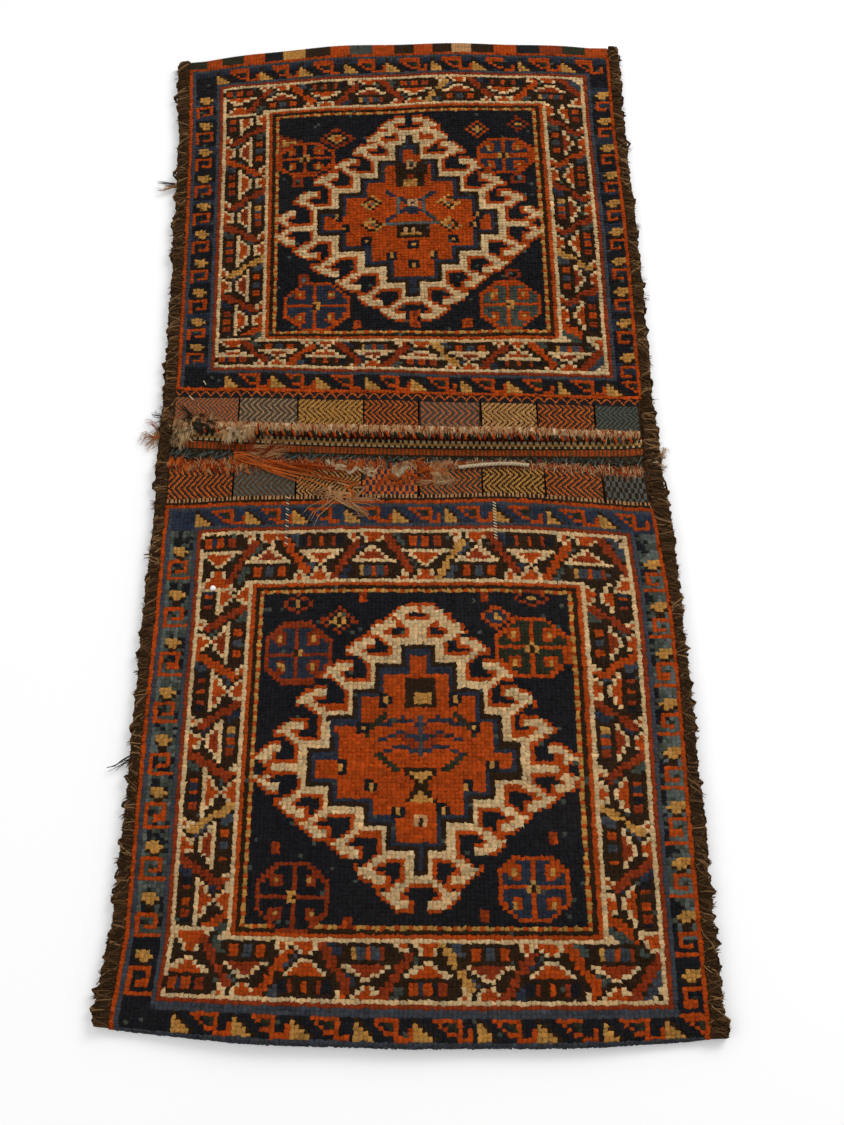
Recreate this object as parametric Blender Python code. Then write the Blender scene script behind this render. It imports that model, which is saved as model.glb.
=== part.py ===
"""Kilim saddle bag: a double pouch folded from one woven strip, lying spread out with its mouths up.

The strip is drawn flat, as it came off the loom: u runs across it, v along it and w out of its
outer side. Its two ends are then folded over the middle, so each end becomes the pile face of a
pouch, the middle becomes the back, and the short stretch between the mouths is the bridge.
Sizes are in metres, +X to the right, +Y towards the far pouch and +Z up from the floor.
"""
import math

import bmesh
import bpy
from mathutils import Matrix, Vector
from mathutils.geometry import delaunay_2d_cdt

# The bag as a whole
LENGTH = 1.176
WIDTH = 0.560
WAIST = 0.030
WAIST_SHIFT = 0.006
END_BOW = 0.008
END_SPLAY = 0.0155
NEAR_FLARE = 0.018
FLARE_RUN = 0.280
MOUTH_SKEW = 0.0115
MOUTH_DIP = 0.006
MOUTH_FADE_FAR = (0.190, 0.100)
MOUTH_FADE_NEAR = (-0.050, 0.030)

# The woven strip
CLOTH = 0.0030
RIDGE = 0.0008
PILE = 0.0020
KNOT_STEP = 0.0009
FULLNESS = 0.0120
SEAM_GAP = 0.0008
RIPPLE = 0.0009
RIPPLE_LENGTH = 0.240
SEAM_LIFT = 0.0026
LIFT_RUN = 0.020
FAR_LIP = 0.0315
NEAR_LIP = -0.0080

# Goat-hair bindings over both side seams
BINDING_WALL = 0.0024
BINDING_REACH = 0.0145
BINDING_BULGE = 0.0010
SCALLOP = 0.0024
SCALLOP_PITCH = 0.042
BINDING_STEP = 0.002
PILE_MARGIN = 0.002

# Mouths: slits, overcast edging and closing loops
SLIT_WIDTH = 0.0022
SLIT_LENGTH = 0.028
SLIT_FROM_LIP = 0.011
PANEL_DEPTH = 0.042
PANEL_MARGIN = 0.010
BLOCK_GAP = 0.0008
EDGING_REACH = 0.0090
EDGING_WALL = 0.0018
LOOP_DEPTH = 0.0080
LOOP_HEIGHT = 0.0032
LOOP_COUNT = 24

CLEARANCE = 0.0004
FOLD_STEPS = 6
ACROSS_STEPS = 6
ALONG_STEPS = 4
MARGIN_STEP = 0.065

HALF_LENGTH = LENGTH / 2
STRIP_HALF = WIDTH / 2 - BINDING_WALL - CLEARANCE
FOLD_RADIUS = (CLOTH + FULLNESS) / 2
TANGENT = HALF_LENGTH - FOLD_RADIUS - CLOTH / 2
FOLD_RUN = math.pi * FOLD_RADIUS
STRIP_END_FAR = TANGENT + FOLD_RUN + TANGENT - FAR_LIP
STRIP_END_NEAR = TANGENT + FOLD_RUN + TANGENT + NEAR_LIP
FLAT_HALF = STRIP_HALF - BINDING_REACH - PILE_MARGIN
PANEL_HALF = FLAT_HALF - PANEL_MARGIN

# Heights of the weave, in the order in which they are raised
FLAT, RIDGED, PILED, RAISED = 0, 1, 2, 3
STEPS = (RIDGE, PILE - RIDGE, KNOT_STEP)

# Flatwoven blocks along each mouth, as parts of the panel's width, with their yarns
FAR_BLOCK_PARTS = (60, 74, 76, 68, 72, 62, 62, 28)
NEAR_BLOCK_PARTS = (64, 76, 74, 66, 72, 64, 56, 30)
FAR_YARNS = ("rust", "teal", "gold", "navy", "rust", "gold", "navy", "teal")
NEAR_YARNS = ("rust", "teal", "gold", "madder", "rust", "gold", "rust", "teal")
CHEVRON_YARNS = {"rust": "indigo", "teal": "tan", "gold": "brown", "navy": "madder", "madder": "teal"}
CHEVRON_PITCH = 0.023
CHEVRON_BAR = 0.007
CHEVRON_POINT = 0.009
CHEVRON_INSET = 0.003

# Raised stripes of the bridge: low edge and high edge as shares of the gap between the lips
BRIDGE_BANDS = (
    (0.02, 0.18, "rust"),
    (0.24, 0.46, "teal"),
    (0.50, 0.66, "rust"),
    (0.71, 0.92, "ivory"),
)
BRIDGE_MARGIN = 0.004

# Knotted faces: far and near edge of each, then the widths of their borders
FAR_PILE = (TANGENT - 0.012, FAR_LIP + PANEL_DEPTH + 0.0035)
NEAR_PILE = (NEAR_LIP - PANEL_DEPTH - 0.002, 0.003 - TANGENT)
LEFT_BORDER = 0.117
RIGHT_BORDER = 0.098
FAR_BORDERS = (0.094, 0.083)
NEAR_BORDERS = (0.106, 0.090)
PILE_LEFT, PILE_RIGHT = -FLAT_HALF, FLAT_HALF
FIELD_LEFT, FIELD_RIGHT = PILE_LEFT + LEFT_BORDER, PILE_RIGHT - RIGHT_BORDER
OUTER_LINE = (0.005, 0.004)
MAIN_INSET = (0.042, 0.034)
MAIN_EDGE = 0.005
GUARD = 0.016

# Medallion: stepped lozenge with hooks, its band and the figures that it holds
TIERS = 5
MEDALLION_STUB = 0.017
TIER_ACROSS = 0.0232
FAR_TIER = 0.0240
NEAR_TIER = 0.0255
WIDEST = 0.042
MEDALLION_DROP = 0.006
MEDALLION_BAND = 0.009
MEDALLION_LINE = 0.006
HOOK_STEM = 0.013
HOOK_BAR = 0.0055
HOOK_HEAD = 0.008
STAR = 0.034
STAR_WAIST = 0.62
TOWER_HALF = 0.016
TOWER_BOX = (0.050, 0.084)
FOOT_BOX = (-0.070, -0.042)
SIDE_DIAMOND = (0.058, 0.014)
SMALL_DIAMONDS = ((0.032, -0.058), (0.036, 0.052))
SMALL_DIAMOND = 0.009

# Corners of the field and the figures of the borders
ROSETTE = 0.024
ROSETTE_CUT = 0.45
ROSETTE_PETAL = (0.40, 0.26)
ROSETTE_ACROSS = 0.116
ROSETTE_INSET = 0.050
CORNER_DIAMOND = (0.040, 0.022, 0.011)
BORDER_PITCH = 0.066
LEAF_LEAN = 0.012
LEAF_BAR = 0.012
LEAF_INSET = 0.004
LENS = (0.011, 0.006)
LENS_SIDE = 0.026
SIDE_LEAF_DROP = 0.024
OUTER_PITCH = 0.061
OUTER_HALF = 0.006
OUTER_TRIANGLE = 0.016
OUTER_BAR = 0.010
OUTER_END = 0.050

# Frayed tufts of the old closing: name, mouth, root across, root beyond its lip, heading in degrees,
# length, width and yarn
TUFTS = (
    ("ivory_tuft", FAR_LIP, -0.160, 0.012, -80, 0.024, 0.034, "ivory"),
    ("pink_tuft", FAR_LIP, -0.226, 0.018, -68, 0.026, 0.046, "tan"),
    ("near_orange_tuft", NEAR_LIP, -0.220, -0.011, 82, 0.019, 0.070, "orange"),
    ("warp_fringe", NEAR_LIP, -0.044, -0.009, 80, 0.016, 0.076, "cream"),
    ("orange_tangle", NEAR_LIP, 0.011, -0.018, -95, 0.020, 0.030, "orange"),
    ("wool_ball", NEAR_LIP, 0.044, -0.010, 80, 0.016, 0.022, "tan"),
)
# Loose ends at the side seams: name, side, place along, heading, length, width and yarn
SIDE_TUFTS = (
    ("green_side_loop", -1, 0.058, 195, 0.012, 0.014, "moss"),
    ("orange_side_tail", -1, 0.040, 220, 0.021, 0.006, "orange"),
    ("ivory_side_tuft", 1, 0.004, -20, 0.009, 0.012, "cream"),
)
TUFT_THICKNESS = 0.0034
SIDE_TUFT_THICKNESS = 0.0024
SIDE_TUFT_HEIGHT = 0.0035
TUFT_TOP = 0.72
# Half of a tuft's outline from its root to its tip, as shares of its length and width
TUFT_OUTLINE = ((0.0, 0.35), (0.45, 0.50), (0.85, 0.38), (1.0, 0.12))

# Loose yarns over the near mouth: the points that each one lies on, across and along
CREAM_CORD = (
    (0.062, -0.0150), (0.074, -0.0135), (0.090, -0.0120), (0.106, -0.0110), (0.122, -0.0105), (0.138, -0.0115),
)
LONG_YARN = (
    (-0.166, -0.011), (-0.146, -0.014), (-0.126, -0.018), (-0.104, -0.022), (-0.080, -0.026), (-0.056, -0.031),
)
CREAM_CORD_RADIUS = 0.0019
LONG_YARN_RADIUS = 0.0008
YARN_SPACING = 3.0

# How the flat end of a C-shaped outline of ten points is filled
CLASP_CAP = ((0, 1, 9), (1, 2, 8, 9), (2, 3, 8), (3, 7, 8), (3, 4, 7), (4, 5, 6, 7))

# Yarn colours: red, green and blue in linear light, then roughness
YARNS = {
    "navy": ((0.013, 0.014, 0.021), 0.95),
    "indigo": ((0.030, 0.042, 0.085), 0.95),
    "teal": ((0.055, 0.085, 0.078), 0.95),
    "ivory": ((0.560, 0.400, 0.210), 0.95),
    "madder": ((0.400, 0.062, 0.010), 0.95),
    "rust": ((0.230, 0.030, 0.010), 0.95),
    "gold": ((0.440, 0.210, 0.035), 0.95),
    "brown": ((0.030, 0.015, 0.008), 0.95),
    "goat_hair": ((0.045, 0.024, 0.013), 0.9),
    "tan": ((0.400, 0.190, 0.095), 0.95),
    "kilim": ((0.120, 0.045, 0.022), 0.95),
    "orange": ((0.480, 0.110, 0.020), 0.9),
    "cream": ((0.560, 0.440, 0.280), 0.9),
    "moss": ((0.035, 0.045, 0.022), 0.95),
}


def clear_scene():
    """Remove what the scene holds, so that the script gives the same bag each time."""
    for thing in list(bpy.data.objects):
        bpy.data.objects.remove(thing)


def yarn(name):
    """Give the material of one yarn colour, made on its first use."""
    made = bpy.data.materials.get(name)
    if made:
        return made
    colour, roughness = YARNS[name]
    made = bpy.data.materials.new(name)
    made.use_nodes = True
    shader = made.node_tree.nodes["Principled BSDF"]
    shader.inputs["Base Color"].default_value = (*colour, 1.0)
    shader.inputs["Roughness"].default_value = roughness
    shader.inputs["Metallic"].default_value = 0.0
    made.diffuse_color = (*colour, 1.0)
    return made


def add_object(name, mesh, yarn_names):
    """Put one closed bmesh into the scene as a named object with its yarns as material slots."""
    bmesh.ops.recalc_face_normals(mesh, faces=mesh.faces)
    if mesh.calc_volume(signed=True) < 0:
        bmesh.ops.reverse_faces(mesh, faces=mesh.faces)
    data = bpy.data.meshes.new(name)
    mesh.to_mesh(data)
    mesh.free()
    for yarn_name in yarn_names:
        data.materials.append(yarn(yarn_name))
    thing = bpy.data.objects.new(name, data)
    bpy.context.scene.collection.objects.link(thing)
    return thing


def smoothstep(low, high, value):
    """Rise smoothly from 0 at low to 1 at high."""
    t = min(max((value - low) / (high - low), 0.0), 1.0)
    return t * t * (3 - 2 * t)


def spread(u, y):
    """Give the place on the floor of a point that would be at (u, y) on a true rectangle."""
    along = min(abs(y) / HALF_LENGTH, 1.0)
    side = u / (WIDTH / 2)
    middle = 1 - along ** 2
    flare = NEAR_FLARE * smoothstep(0.0, FLARE_RUN, -y)
    x = u * (1 - WAIST * middle + flare) + WAIST_SHIFT * middle
    bow = END_BOW * side ** 2 * along ** 4
    fade = smoothstep(*MOUTH_FADE_FAR, y) * smoothstep(*MOUTH_FADE_NEAR, y)
    skew = (MOUTH_SKEW * side - MOUTH_DIP * side ** 2) * fade
    return x, y * (1 + END_SPLAY * side) - math.copysign(bow, y) - skew


def lift(u):
    """Give how far the back cloth rises off the floor to clear the binding below it."""
    return SEAM_LIFT * min(max((abs(u) - FLAT_HALF + LIFT_RUN) / LIFT_RUN, 0.0), 1.0)


def back_height(u):
    """Give the mid-height of the back cloth."""
    return CLOTH / 2 + lift(u)


def face_height(u, y):
    """Give the mid-height of a pouch's face, shut at the side seams and full in the middle."""
    across = 1 - min(abs(u) / FLAT_HALF, 1.0) ** 3
    wave = math.sin(2 * math.pi * y / RIPPLE_LENGTH + 5 * u)
    full = (FULLNESS - SEAM_GAP) * across + RIPPLE * wave * across
    return back_height(u) + CLOTH + SEAM_GAP + full


def fold(u, v, w):
    """Carry a point of the flat strip to its place in the folded bag."""
    end = 1 if v > 0 else -1
    run = abs(v)
    low = back_height(u)
    if run <= TANGENT:
        y, z = run, low - w
    elif run < TANGENT + FOLD_RUN:
        high = face_height(u, end * TANGENT)
        turn = math.pi * (run - TANGENT) / FOLD_RUN - math.pi / 2
        radius = (high - low) / 2 + w
        y = TANGENT + radius * math.cos(turn)
        z = (high + low) / 2 + radius * math.sin(turn)
    else:
        y = TANGENT - (run - TANGENT - FOLD_RUN)
        z = face_height(u, end * y) + w
    return Vector((*spread(u, end * y), z))


def face_run(y, far):
    """Give v on the flat strip for a place y on the face of the far or the near pouch."""
    if far:
        return TANGENT + FOLD_RUN + TANGENT - y
    return -(TANGENT + FOLD_RUN + TANGENT + y)


class Chart:
    """Woven fields drawn on the flat strip, each a polygon with its yarn and its height."""

    def __init__(self):
        self.fields = []

    def field(self, points, yarn_name, level):
        """Weave one polygon over what is already there."""
        turned = sum(a[0] * b[1] - b[0] * a[1] for a, b in zip(points, points[1:] + points[:1]))
        ordered = points if turned > 0 else points[::-1]
        self.fields.append((ordered, yarn_name, level))

    def box(self, low_u, high_u, low_v, high_v, yarn_name, level):
        """Weave a rectangle."""
        points = [(low_u, low_v), (high_u, low_v), (high_u, high_v), (low_u, high_v)]
        self.field(points, yarn_name, level)


def weave_side(chart, outline, yarn_names):
    """Mesh one side of the flat strip: its fields, cut along the lines where the strip bends."""
    points, edges, faces = [], [], []

    def add(point):
        points.append(Vector(point))
        return len(points) - 1

    for field_points, _, _ in [(outline, None, 0)] + chart.fields:
        faces.append([add(point) for point in field_points])
    for start, end in bend_lines():
        edges.append((add(start), add(end)))
    result = delaunay_2d_cdt(points, edges, faces, 1, 1e-7)
    out_points, out_faces, owners = result[0], result[2], result[5]

    mesh = bmesh.new()
    level_of = mesh.faces.layers.int.new("level")
    corners = [mesh.verts.new((point.x, point.y, 0.0)) for point in out_points]
    for face_corners, owned_by in zip(out_faces, owners):
        top = max(owned_by, default=-1)
        if top < 0:
            continue
        level, yarn_name = 0, yarn_names[0]
        if top > 0:
            _, yarn_name, level = chart.fields[top - 1]
        if level < 0:
            continue
        made = mesh.faces.new([corners[index] for index in face_corners])
        made[level_of] = level
        made.material_index = yarn_names.index(yarn_name)
    loose = [vert for vert in mesh.verts if not vert.link_faces]
    bmesh.ops.delete(mesh, geom=loose, context="VERTS")
    return mesh


def raise_levels(mesh, steps):
    """Lift the faces of each level over the ones below it by that level's step."""
    level_of = mesh.faces.layers.int["level"]
    for level, step in enumerate(steps, start=1):
        raised = [face for face in mesh.faces if face[level_of] >= level]
        if not raised:
            continue
        edges = {edge for face in raised for edge in face.edges}
        result = bmesh.ops.extrude_face_region(mesh, geom=raised + list(edges))
        moved = [item for item in result["geom"] if isinstance(item, bmesh.types.BMVert)]
        bmesh.ops.translate(mesh, verts=moved, vec=(0, 0, step))
        caps = {item for item in result["geom"] if isinstance(item, bmesh.types.BMFace)}
        for face in mesh.faces:
            if face not in caps and abs(face.normal.z) < 0.5:
                face[level_of] = 0
        mesh.normal_update()


def even_lines(low, high, count):
    """Give the inner places of a run split into equal parts."""
    return [low + (high - low) * step / count for step in range(1, count)]


def across_places():
    """Give the places across the strip where it bends."""
    inner = FLAT_HALF - LIFT_RUN
    return [-FLAT_HALF, -inner] + even_lines(-inner, inner, ACROSS_STEPS) + [inner, FLAT_HALF]


def bend_lines():
    """Give the lines of the flat strip where it bends, as pairs of points."""
    lines = [((u, -STRIP_END_NEAR), (u, STRIP_END_FAR)) for u in across_places()]
    for end, lip in ((1, STRIP_END_FAR), (-1, STRIP_END_NEAR)):
        start = TANGENT + FOLD_RUN
        panel = lip - EDGING_REACH - CLEARANCE
        runs = [TANGENT] + even_lines(TANGENT, start, FOLD_STEPS)
        runs += [start] + even_lines(start, panel, ALONG_STEPS) + [panel]
        lines += [((-STRIP_HALF, end * run), (STRIP_HALF, end * run)) for run in runs]
        lines += margin_lines(end * start, end * lip)
    lines += margin_lines(-TANGENT, TANGENT)
    return lines


def margin_lines(low, high):
    """Give the closer bend lines of both side margins, where the bindings follow the cloth."""
    lines = []
    for v in even_lines(low, high, math.ceil(abs(high - low) / MARGIN_STEP)):
        for side in (-1, 1):
            lines.append(((side * STRIP_HALF, v), (side * (FLAT_HALF - LIFT_RUN), v)))
    return lines


def block_edges(parts):
    """Give the edges of the flatwoven blocks across the strip from their parts of the panel."""
    total = sum(parts)
    return [PANEL_HALF * (2 * sum(parts[:count]) / total - 1) for count in range(len(parts) + 1)]


def slit_boxes():
    """Give the closing slits of both mouths as boxes on the flat strip."""
    boxes = []
    for far, parts in ((True, FAR_BLOCK_PARTS), (False, NEAR_BLOCK_PARTS)):
        lip = FAR_LIP if far else NEAR_LIP
        inward = 1 if far else -1
        for edge in block_edges(parts)[1:-1]:
            near_lip = face_run(lip + inward * SLIT_FROM_LIP, far)
            deep = face_run(lip + inward * (SLIT_FROM_LIP + SLIT_LENGTH), far)
            low, high = sorted((near_lip, deep))
            boxes.append((edge - SLIT_WIDTH / 2, edge + SLIT_WIDTH / 2, low, high))
    return boxes


class PileFace:
    """The knotted pattern of one pouch face, drawn in sizes read across and along the bag."""

    def __init__(self, chart, far, top, bottom, field_top, field_bottom, tier):
        self.chart = chart
        self.far = far
        self.top = top
        self.bottom = bottom
        self.field_top = field_top
        self.field_bottom = field_bottom
        self.tier = tier

    def draw(self, points, yarn_name, level):
        """Weave a polygon given by its places on the face."""
        flat = [(u, face_run(y, self.far)) for u, y in points]
        self.chart.field(flat, yarn_name, level)

    def rect(self, left, right, low, high, yarn_name, level):
        """Weave a rectangle given by its places on the face."""
        self.draw([(left, low), (right, low), (right, high), (left, high)], yarn_name, level)

    def frames(self):
        """Weave the nested borders, from the outermost in."""
        edge_side, edge_end = (inset - MAIN_EDGE for inset in MAIN_INSET)
        for inset_side, inset_end, yarn_name, level in (
            (0.0, 0.0, "rust", PILED),
            (*OUTER_LINE, "navy", PILED),
            (edge_side, edge_end, "madder", RAISED),
            (*MAIN_INSET, "ivory", PILED),
        ):
            left, right = PILE_LEFT + inset_side, PILE_RIGHT - inset_side
            self.rect(left, right, self.bottom + inset_end, self.top - inset_end, yarn_name, level)
        for grow, yarn_name, level in ((GUARD, "madder", RAISED), (0.0, "navy", PILED)):
            left, right = FIELD_LEFT - grow, FIELD_RIGHT + grow
            self.rect(left, right, self.field_bottom - grow, self.field_top + grow, yarn_name, level)

    def lozenge_points(self, shrink):
        """Give the stepped outline of the medallion, shrunk evenly for its inner edge."""
        centre_u = (FIELD_LEFT + FIELD_RIGHT) / 2
        centre_y = (self.field_top + self.field_bottom) / 2 - MEDALLION_DROP
        halves = [MEDALLION_STUB + TIER_ACROSS * step for step in range(TIERS)]
        quarter = []
        for step, half in enumerate(halves):
            rise = WIDEST / 2 + self.tier * (TIERS - 1 - step)
            next_rise = rise - self.tier if step < TIERS - 1 else 0
            quarter.append((half - shrink, rise - shrink))
            if next_rise:
                quarter.append((half - shrink, next_rise - shrink))
        points = quarter + [(u, -y) for u, y in quarter[::-1]]
        points += [(-u, -y) for u, y in quarter] + [(-u, y) for u, y in quarter[::-1]]
        return [(centre_u + u, centre_y + y) for u, y in points]

    def hook(self, u, y, out_u, out_y):
        """Weave one latch hook: a slanting stem with its head bent back towards the middle line."""
        stem, bar, head = HOOK_STEM, HOOK_BAR, HOOK_HEAD
        shape = [
            (-bar, bar * 0.2),
            (stem - bar, stem),
            (stem - bar - head, stem),
            (stem - bar - head, stem + bar),
            (stem + bar * 0.4, stem + bar),
            (stem + bar * 0.4, stem - bar * 0.6),
            (bar * 0.2, -bar),
        ]
        self.draw([(u + a * out_u, y + b * out_y) for a, b in shape], "ivory", RAISED)

    def medallion(self):
        """Weave the hooked lozenge and what it holds."""
        outline = self.lozenge_points(0.0)
        self.draw(outline, "ivory", RAISED)
        centre_u = sum(u for u, _ in outline) / len(outline)
        centre_y = sum(y for _, y in outline) / len(outline)
        for step in range(TIERS):
            half = MEDALLION_STUB + TIER_ACROSS * step
            rise = WIDEST / 2 + self.tier * (TIERS - 1 - step)
            for side in (-1, 1):
                for way in (-1, 1):
                    self.hook(centre_u + side * half, centre_y + way * rise, side, way)
        self.draw(self.lozenge_points(MEDALLION_BAND), "indigo", PILED)
        self.draw(self.lozenge_points(MEDALLION_BAND + MEDALLION_LINE), "madder", PILED)
        self.star(centre_u, centre_y, STAR, "indigo", RAISED)
        for (low, high), yarn_name in ((TOWER_BOX, "brown"), (FOOT_BOX, "gold")):
            left, right = centre_u - TOWER_HALF, centre_u + TOWER_HALF
            self.rect(left, right, centre_y + low, centre_y + high, yarn_name, RAISED)
        for side in (-1, 1):
            self.diamond(centre_u + side * SIDE_DIAMOND[0], centre_y, SIDE_DIAMOND[1], "gold", RAISED)
            for out, along in SMALL_DIAMONDS:
                self.diamond(centre_u + side * out, centre_y + along, SMALL_DIAMOND, "navy", RAISED)

    def star(self, u, y, size, yarn_name, level):
        """Weave an eight-cornered star."""
        points = []
        for step in range(16):
            reach = size if step % 2 == 0 else size * STAR_WAIST
            angle = math.pi * step / 8
            points.append((u + reach * math.cos(angle), y + reach * math.sin(angle)))
        self.draw(points, yarn_name, level)

    def diamond(self, u, y, size, yarn_name, level):
        """Weave a small diamond."""
        self.draw([(u - size, y), (u, y - size), (u + size, y), (u, y + size)], yarn_name, level)

    def rosette(self, u, y, yarn_name):
        """Weave one corner rosette: an octagon with a cross of petals."""
        size, cut = ROSETTE, ROSETTE * ROSETTE_CUT
        corners = ((-cut, size), (cut, size), (size, cut), (size, -cut))
        points = [(u + a, y + b) for a, b in corners] + [(u - a, y - b) for a, b in corners]
        self.draw(points, yarn_name, RAISED)
        away, petal = (size * share for share in ROSETTE_PETAL)
        for side in (-1, 1):
            for way in (-1, 1):
                self.diamond(u + side * away, y + way * away, petal, "madder", RAISED)

    def corners(self):
        """Weave the rosettes and diamonds that fill the field's corners."""
        for side, way, yarn_name in ((-1, 1, "indigo"), (1, 1, "teal"), (-1, -1, "teal"), (1, -1, "indigo")):
            u = (FIELD_LEFT + FIELD_RIGHT) / 2 + side * ROSETTE_ACROSS
            edge = self.field_top if way > 0 else self.field_bottom
            self.rosette(u, edge - way * ROSETTE_INSET, yarn_name)
            if way > 0:
                inward, down, size = CORNER_DIAMOND
                self.diamond(u - side * inward, edge - down, size, "gold", RAISED)

    def border_units(self, low, high, pitch):
        """Give the centres of evenly spaced units along a border."""
        count = max(2, round((high - low) / pitch))
        return [low + (high - low) * (step + 0.5) / count for step in range(count)]

    def main_border(self):
        """Weave the broad ivory border: slanting leaves, lenses and chequered bars."""
        left, right = PILE_LEFT + MAIN_INSET[0], PILE_RIGHT - MAIN_INSET[0]
        inner_left, inner_right = FIELD_LEFT - GUARD, FIELD_RIGHT + GUARD
        half_bar = LEAF_BAR / 2
        for low, high in (
            (self.field_top + GUARD, self.top - MAIN_INSET[1]),
            (self.bottom + MAIN_INSET[1], self.field_bottom - GUARD),
        ):
            middle, tall = (low + high) / 2, (high - low) / 2 - LEAF_INSET
            for index, u in enumerate(self.border_units(inner_left, inner_right, BORDER_PITCH)):
                lean = LEAF_LEAN if index % 2 else -LEAF_LEAN
                leaf = [(u - half_bar - lean, middle - tall), (u + half_bar - lean, middle - tall)]
                leaf += [(u + half_bar + lean, middle + tall), (u - half_bar + lean, middle + tall)]
                self.draw(leaf, ("madder", "navy", "madder", "indigo", "gold")[index % 5], RAISED)
                lens = u + math.copysign(LENS_SIDE, lean)
                wide, high_lens = LENS
                corners = ((-wide, 0), (0, -high_lens), (wide, 0), (0, high_lens))
                self.draw([(lens + a, middle + b) for a, b in corners], "rust", RAISED)
        for low, high in ((left, inner_left), (inner_right, right)):
            outer, inner = low + LEAF_INSET, high - LEAF_INSET
            for index, y in enumerate(self.border_units(self.field_bottom, self.field_top, BORDER_PITCH)):
                down = y - SIDE_LEAF_DROP
                leaf = [(outer, y + half_bar), (outer, y - half_bar)]
                leaf += [(inner, down - half_bar), (inner, down + half_bar)]
                self.draw(leaf, ("madder", "teal", "navy")[index % 3], RAISED)
                back = y + 1.5 * LEAF_BAR
                up = back + SIDE_LEAF_DROP / 2
                counter = [(outer, back - half_bar), (inner, up - half_bar)]
                counter += [(inner, up + half_bar), (outer, back + half_bar)]
                self.draw(counter, ("navy", "madder")[index % 2], RAISED)

    def outer_figure(self, along, across, upright):
        """Weave a gold triangle and a slanting red bar, along the border and across it."""
        half, base, bar = OUTER_HALF, OUTER_TRIANGLE, OUTER_BAR
        triangle = [(-2 * bar - base / 2, half), (-2 * bar, -half), (-2 * bar + base / 2, half)]
        slant = [(0.0, -half), (bar, -half), (2 * bar, half), (bar, half)]
        for shape, yarn_name, level in ((triangle, "gold", PILED), (slant, "madder", RAISED)):
            points = [(across + b, along + a) if upright else (along + a, across + b) for a, b in shape]
            self.draw(points, yarn_name, level)

    def outer_border(self):
        """Weave the narrow dark border: a gold triangle and a red bar in turn."""
        side_middle = (OUTER_LINE[0] + MAIN_INSET[0] - MAIN_EDGE) / 2
        end_middle = (OUTER_LINE[1] + MAIN_INSET[1] - MAIN_EDGE) / 2
        left, right = PILE_LEFT + side_middle, PILE_RIGHT - side_middle
        for u in self.border_units(left + OUTER_BAR, right, OUTER_PITCH):
            for y in (self.top - end_middle, self.bottom + end_middle):
                self.outer_figure(u, y, False)
        for y in self.border_units(self.bottom + OUTER_END, self.top - OUTER_END, OUTER_PITCH):
            for u in (left, right):
                self.outer_figure(y, u, True)

    def weave(self):
        """Weave the whole face."""
        self.frames()
        self.outer_border()
        self.main_border()
        self.medallion()
        self.corners()


def weave_panels(chart):
    """Weave the flatwoven blocks with lying chevrons along both mouths."""
    for far, parts, yarns in ((True, FAR_BLOCK_PARTS, FAR_YARNS), (False, NEAR_BLOCK_PARTS, NEAR_YARNS)):
        lip = FAR_LIP if far else NEAR_LIP
        inward = 1 if far else -1
        start, deep = lip + inward * (EDGING_REACH + PILE_MARGIN), lip + inward * PANEL_DEPTH
        low, high = sorted((face_run(start, far), face_run(deep, far)))
        middle, tall = (low + high) / 2, (high - low) / 2 - CHEVRON_INSET
        inset = SLIT_WIDTH / 2 + BLOCK_GAP
        places = block_edges(parts)
        for left, right, ground in zip(places, places[1:], yarns):
            chart.box(left + inset, right - inset, low, high, ground, FLAT)
            count = int((right - left - 2 * CHEVRON_POINT) / CHEVRON_PITCH)
            for step in range(count):
                u = left + CHEVRON_POINT + step * CHEVRON_PITCH
                points = [(u, middle - tall), (u + CHEVRON_BAR, middle - tall)]
                points += [(u + CHEVRON_BAR + CHEVRON_POINT, middle), (u + CHEVRON_BAR, middle + tall)]
                points += [(u, middle + tall), (u + CHEVRON_POINT, middle)]
                chart.field(points, CHEVRON_YARNS[ground], RIDGED)


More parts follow.
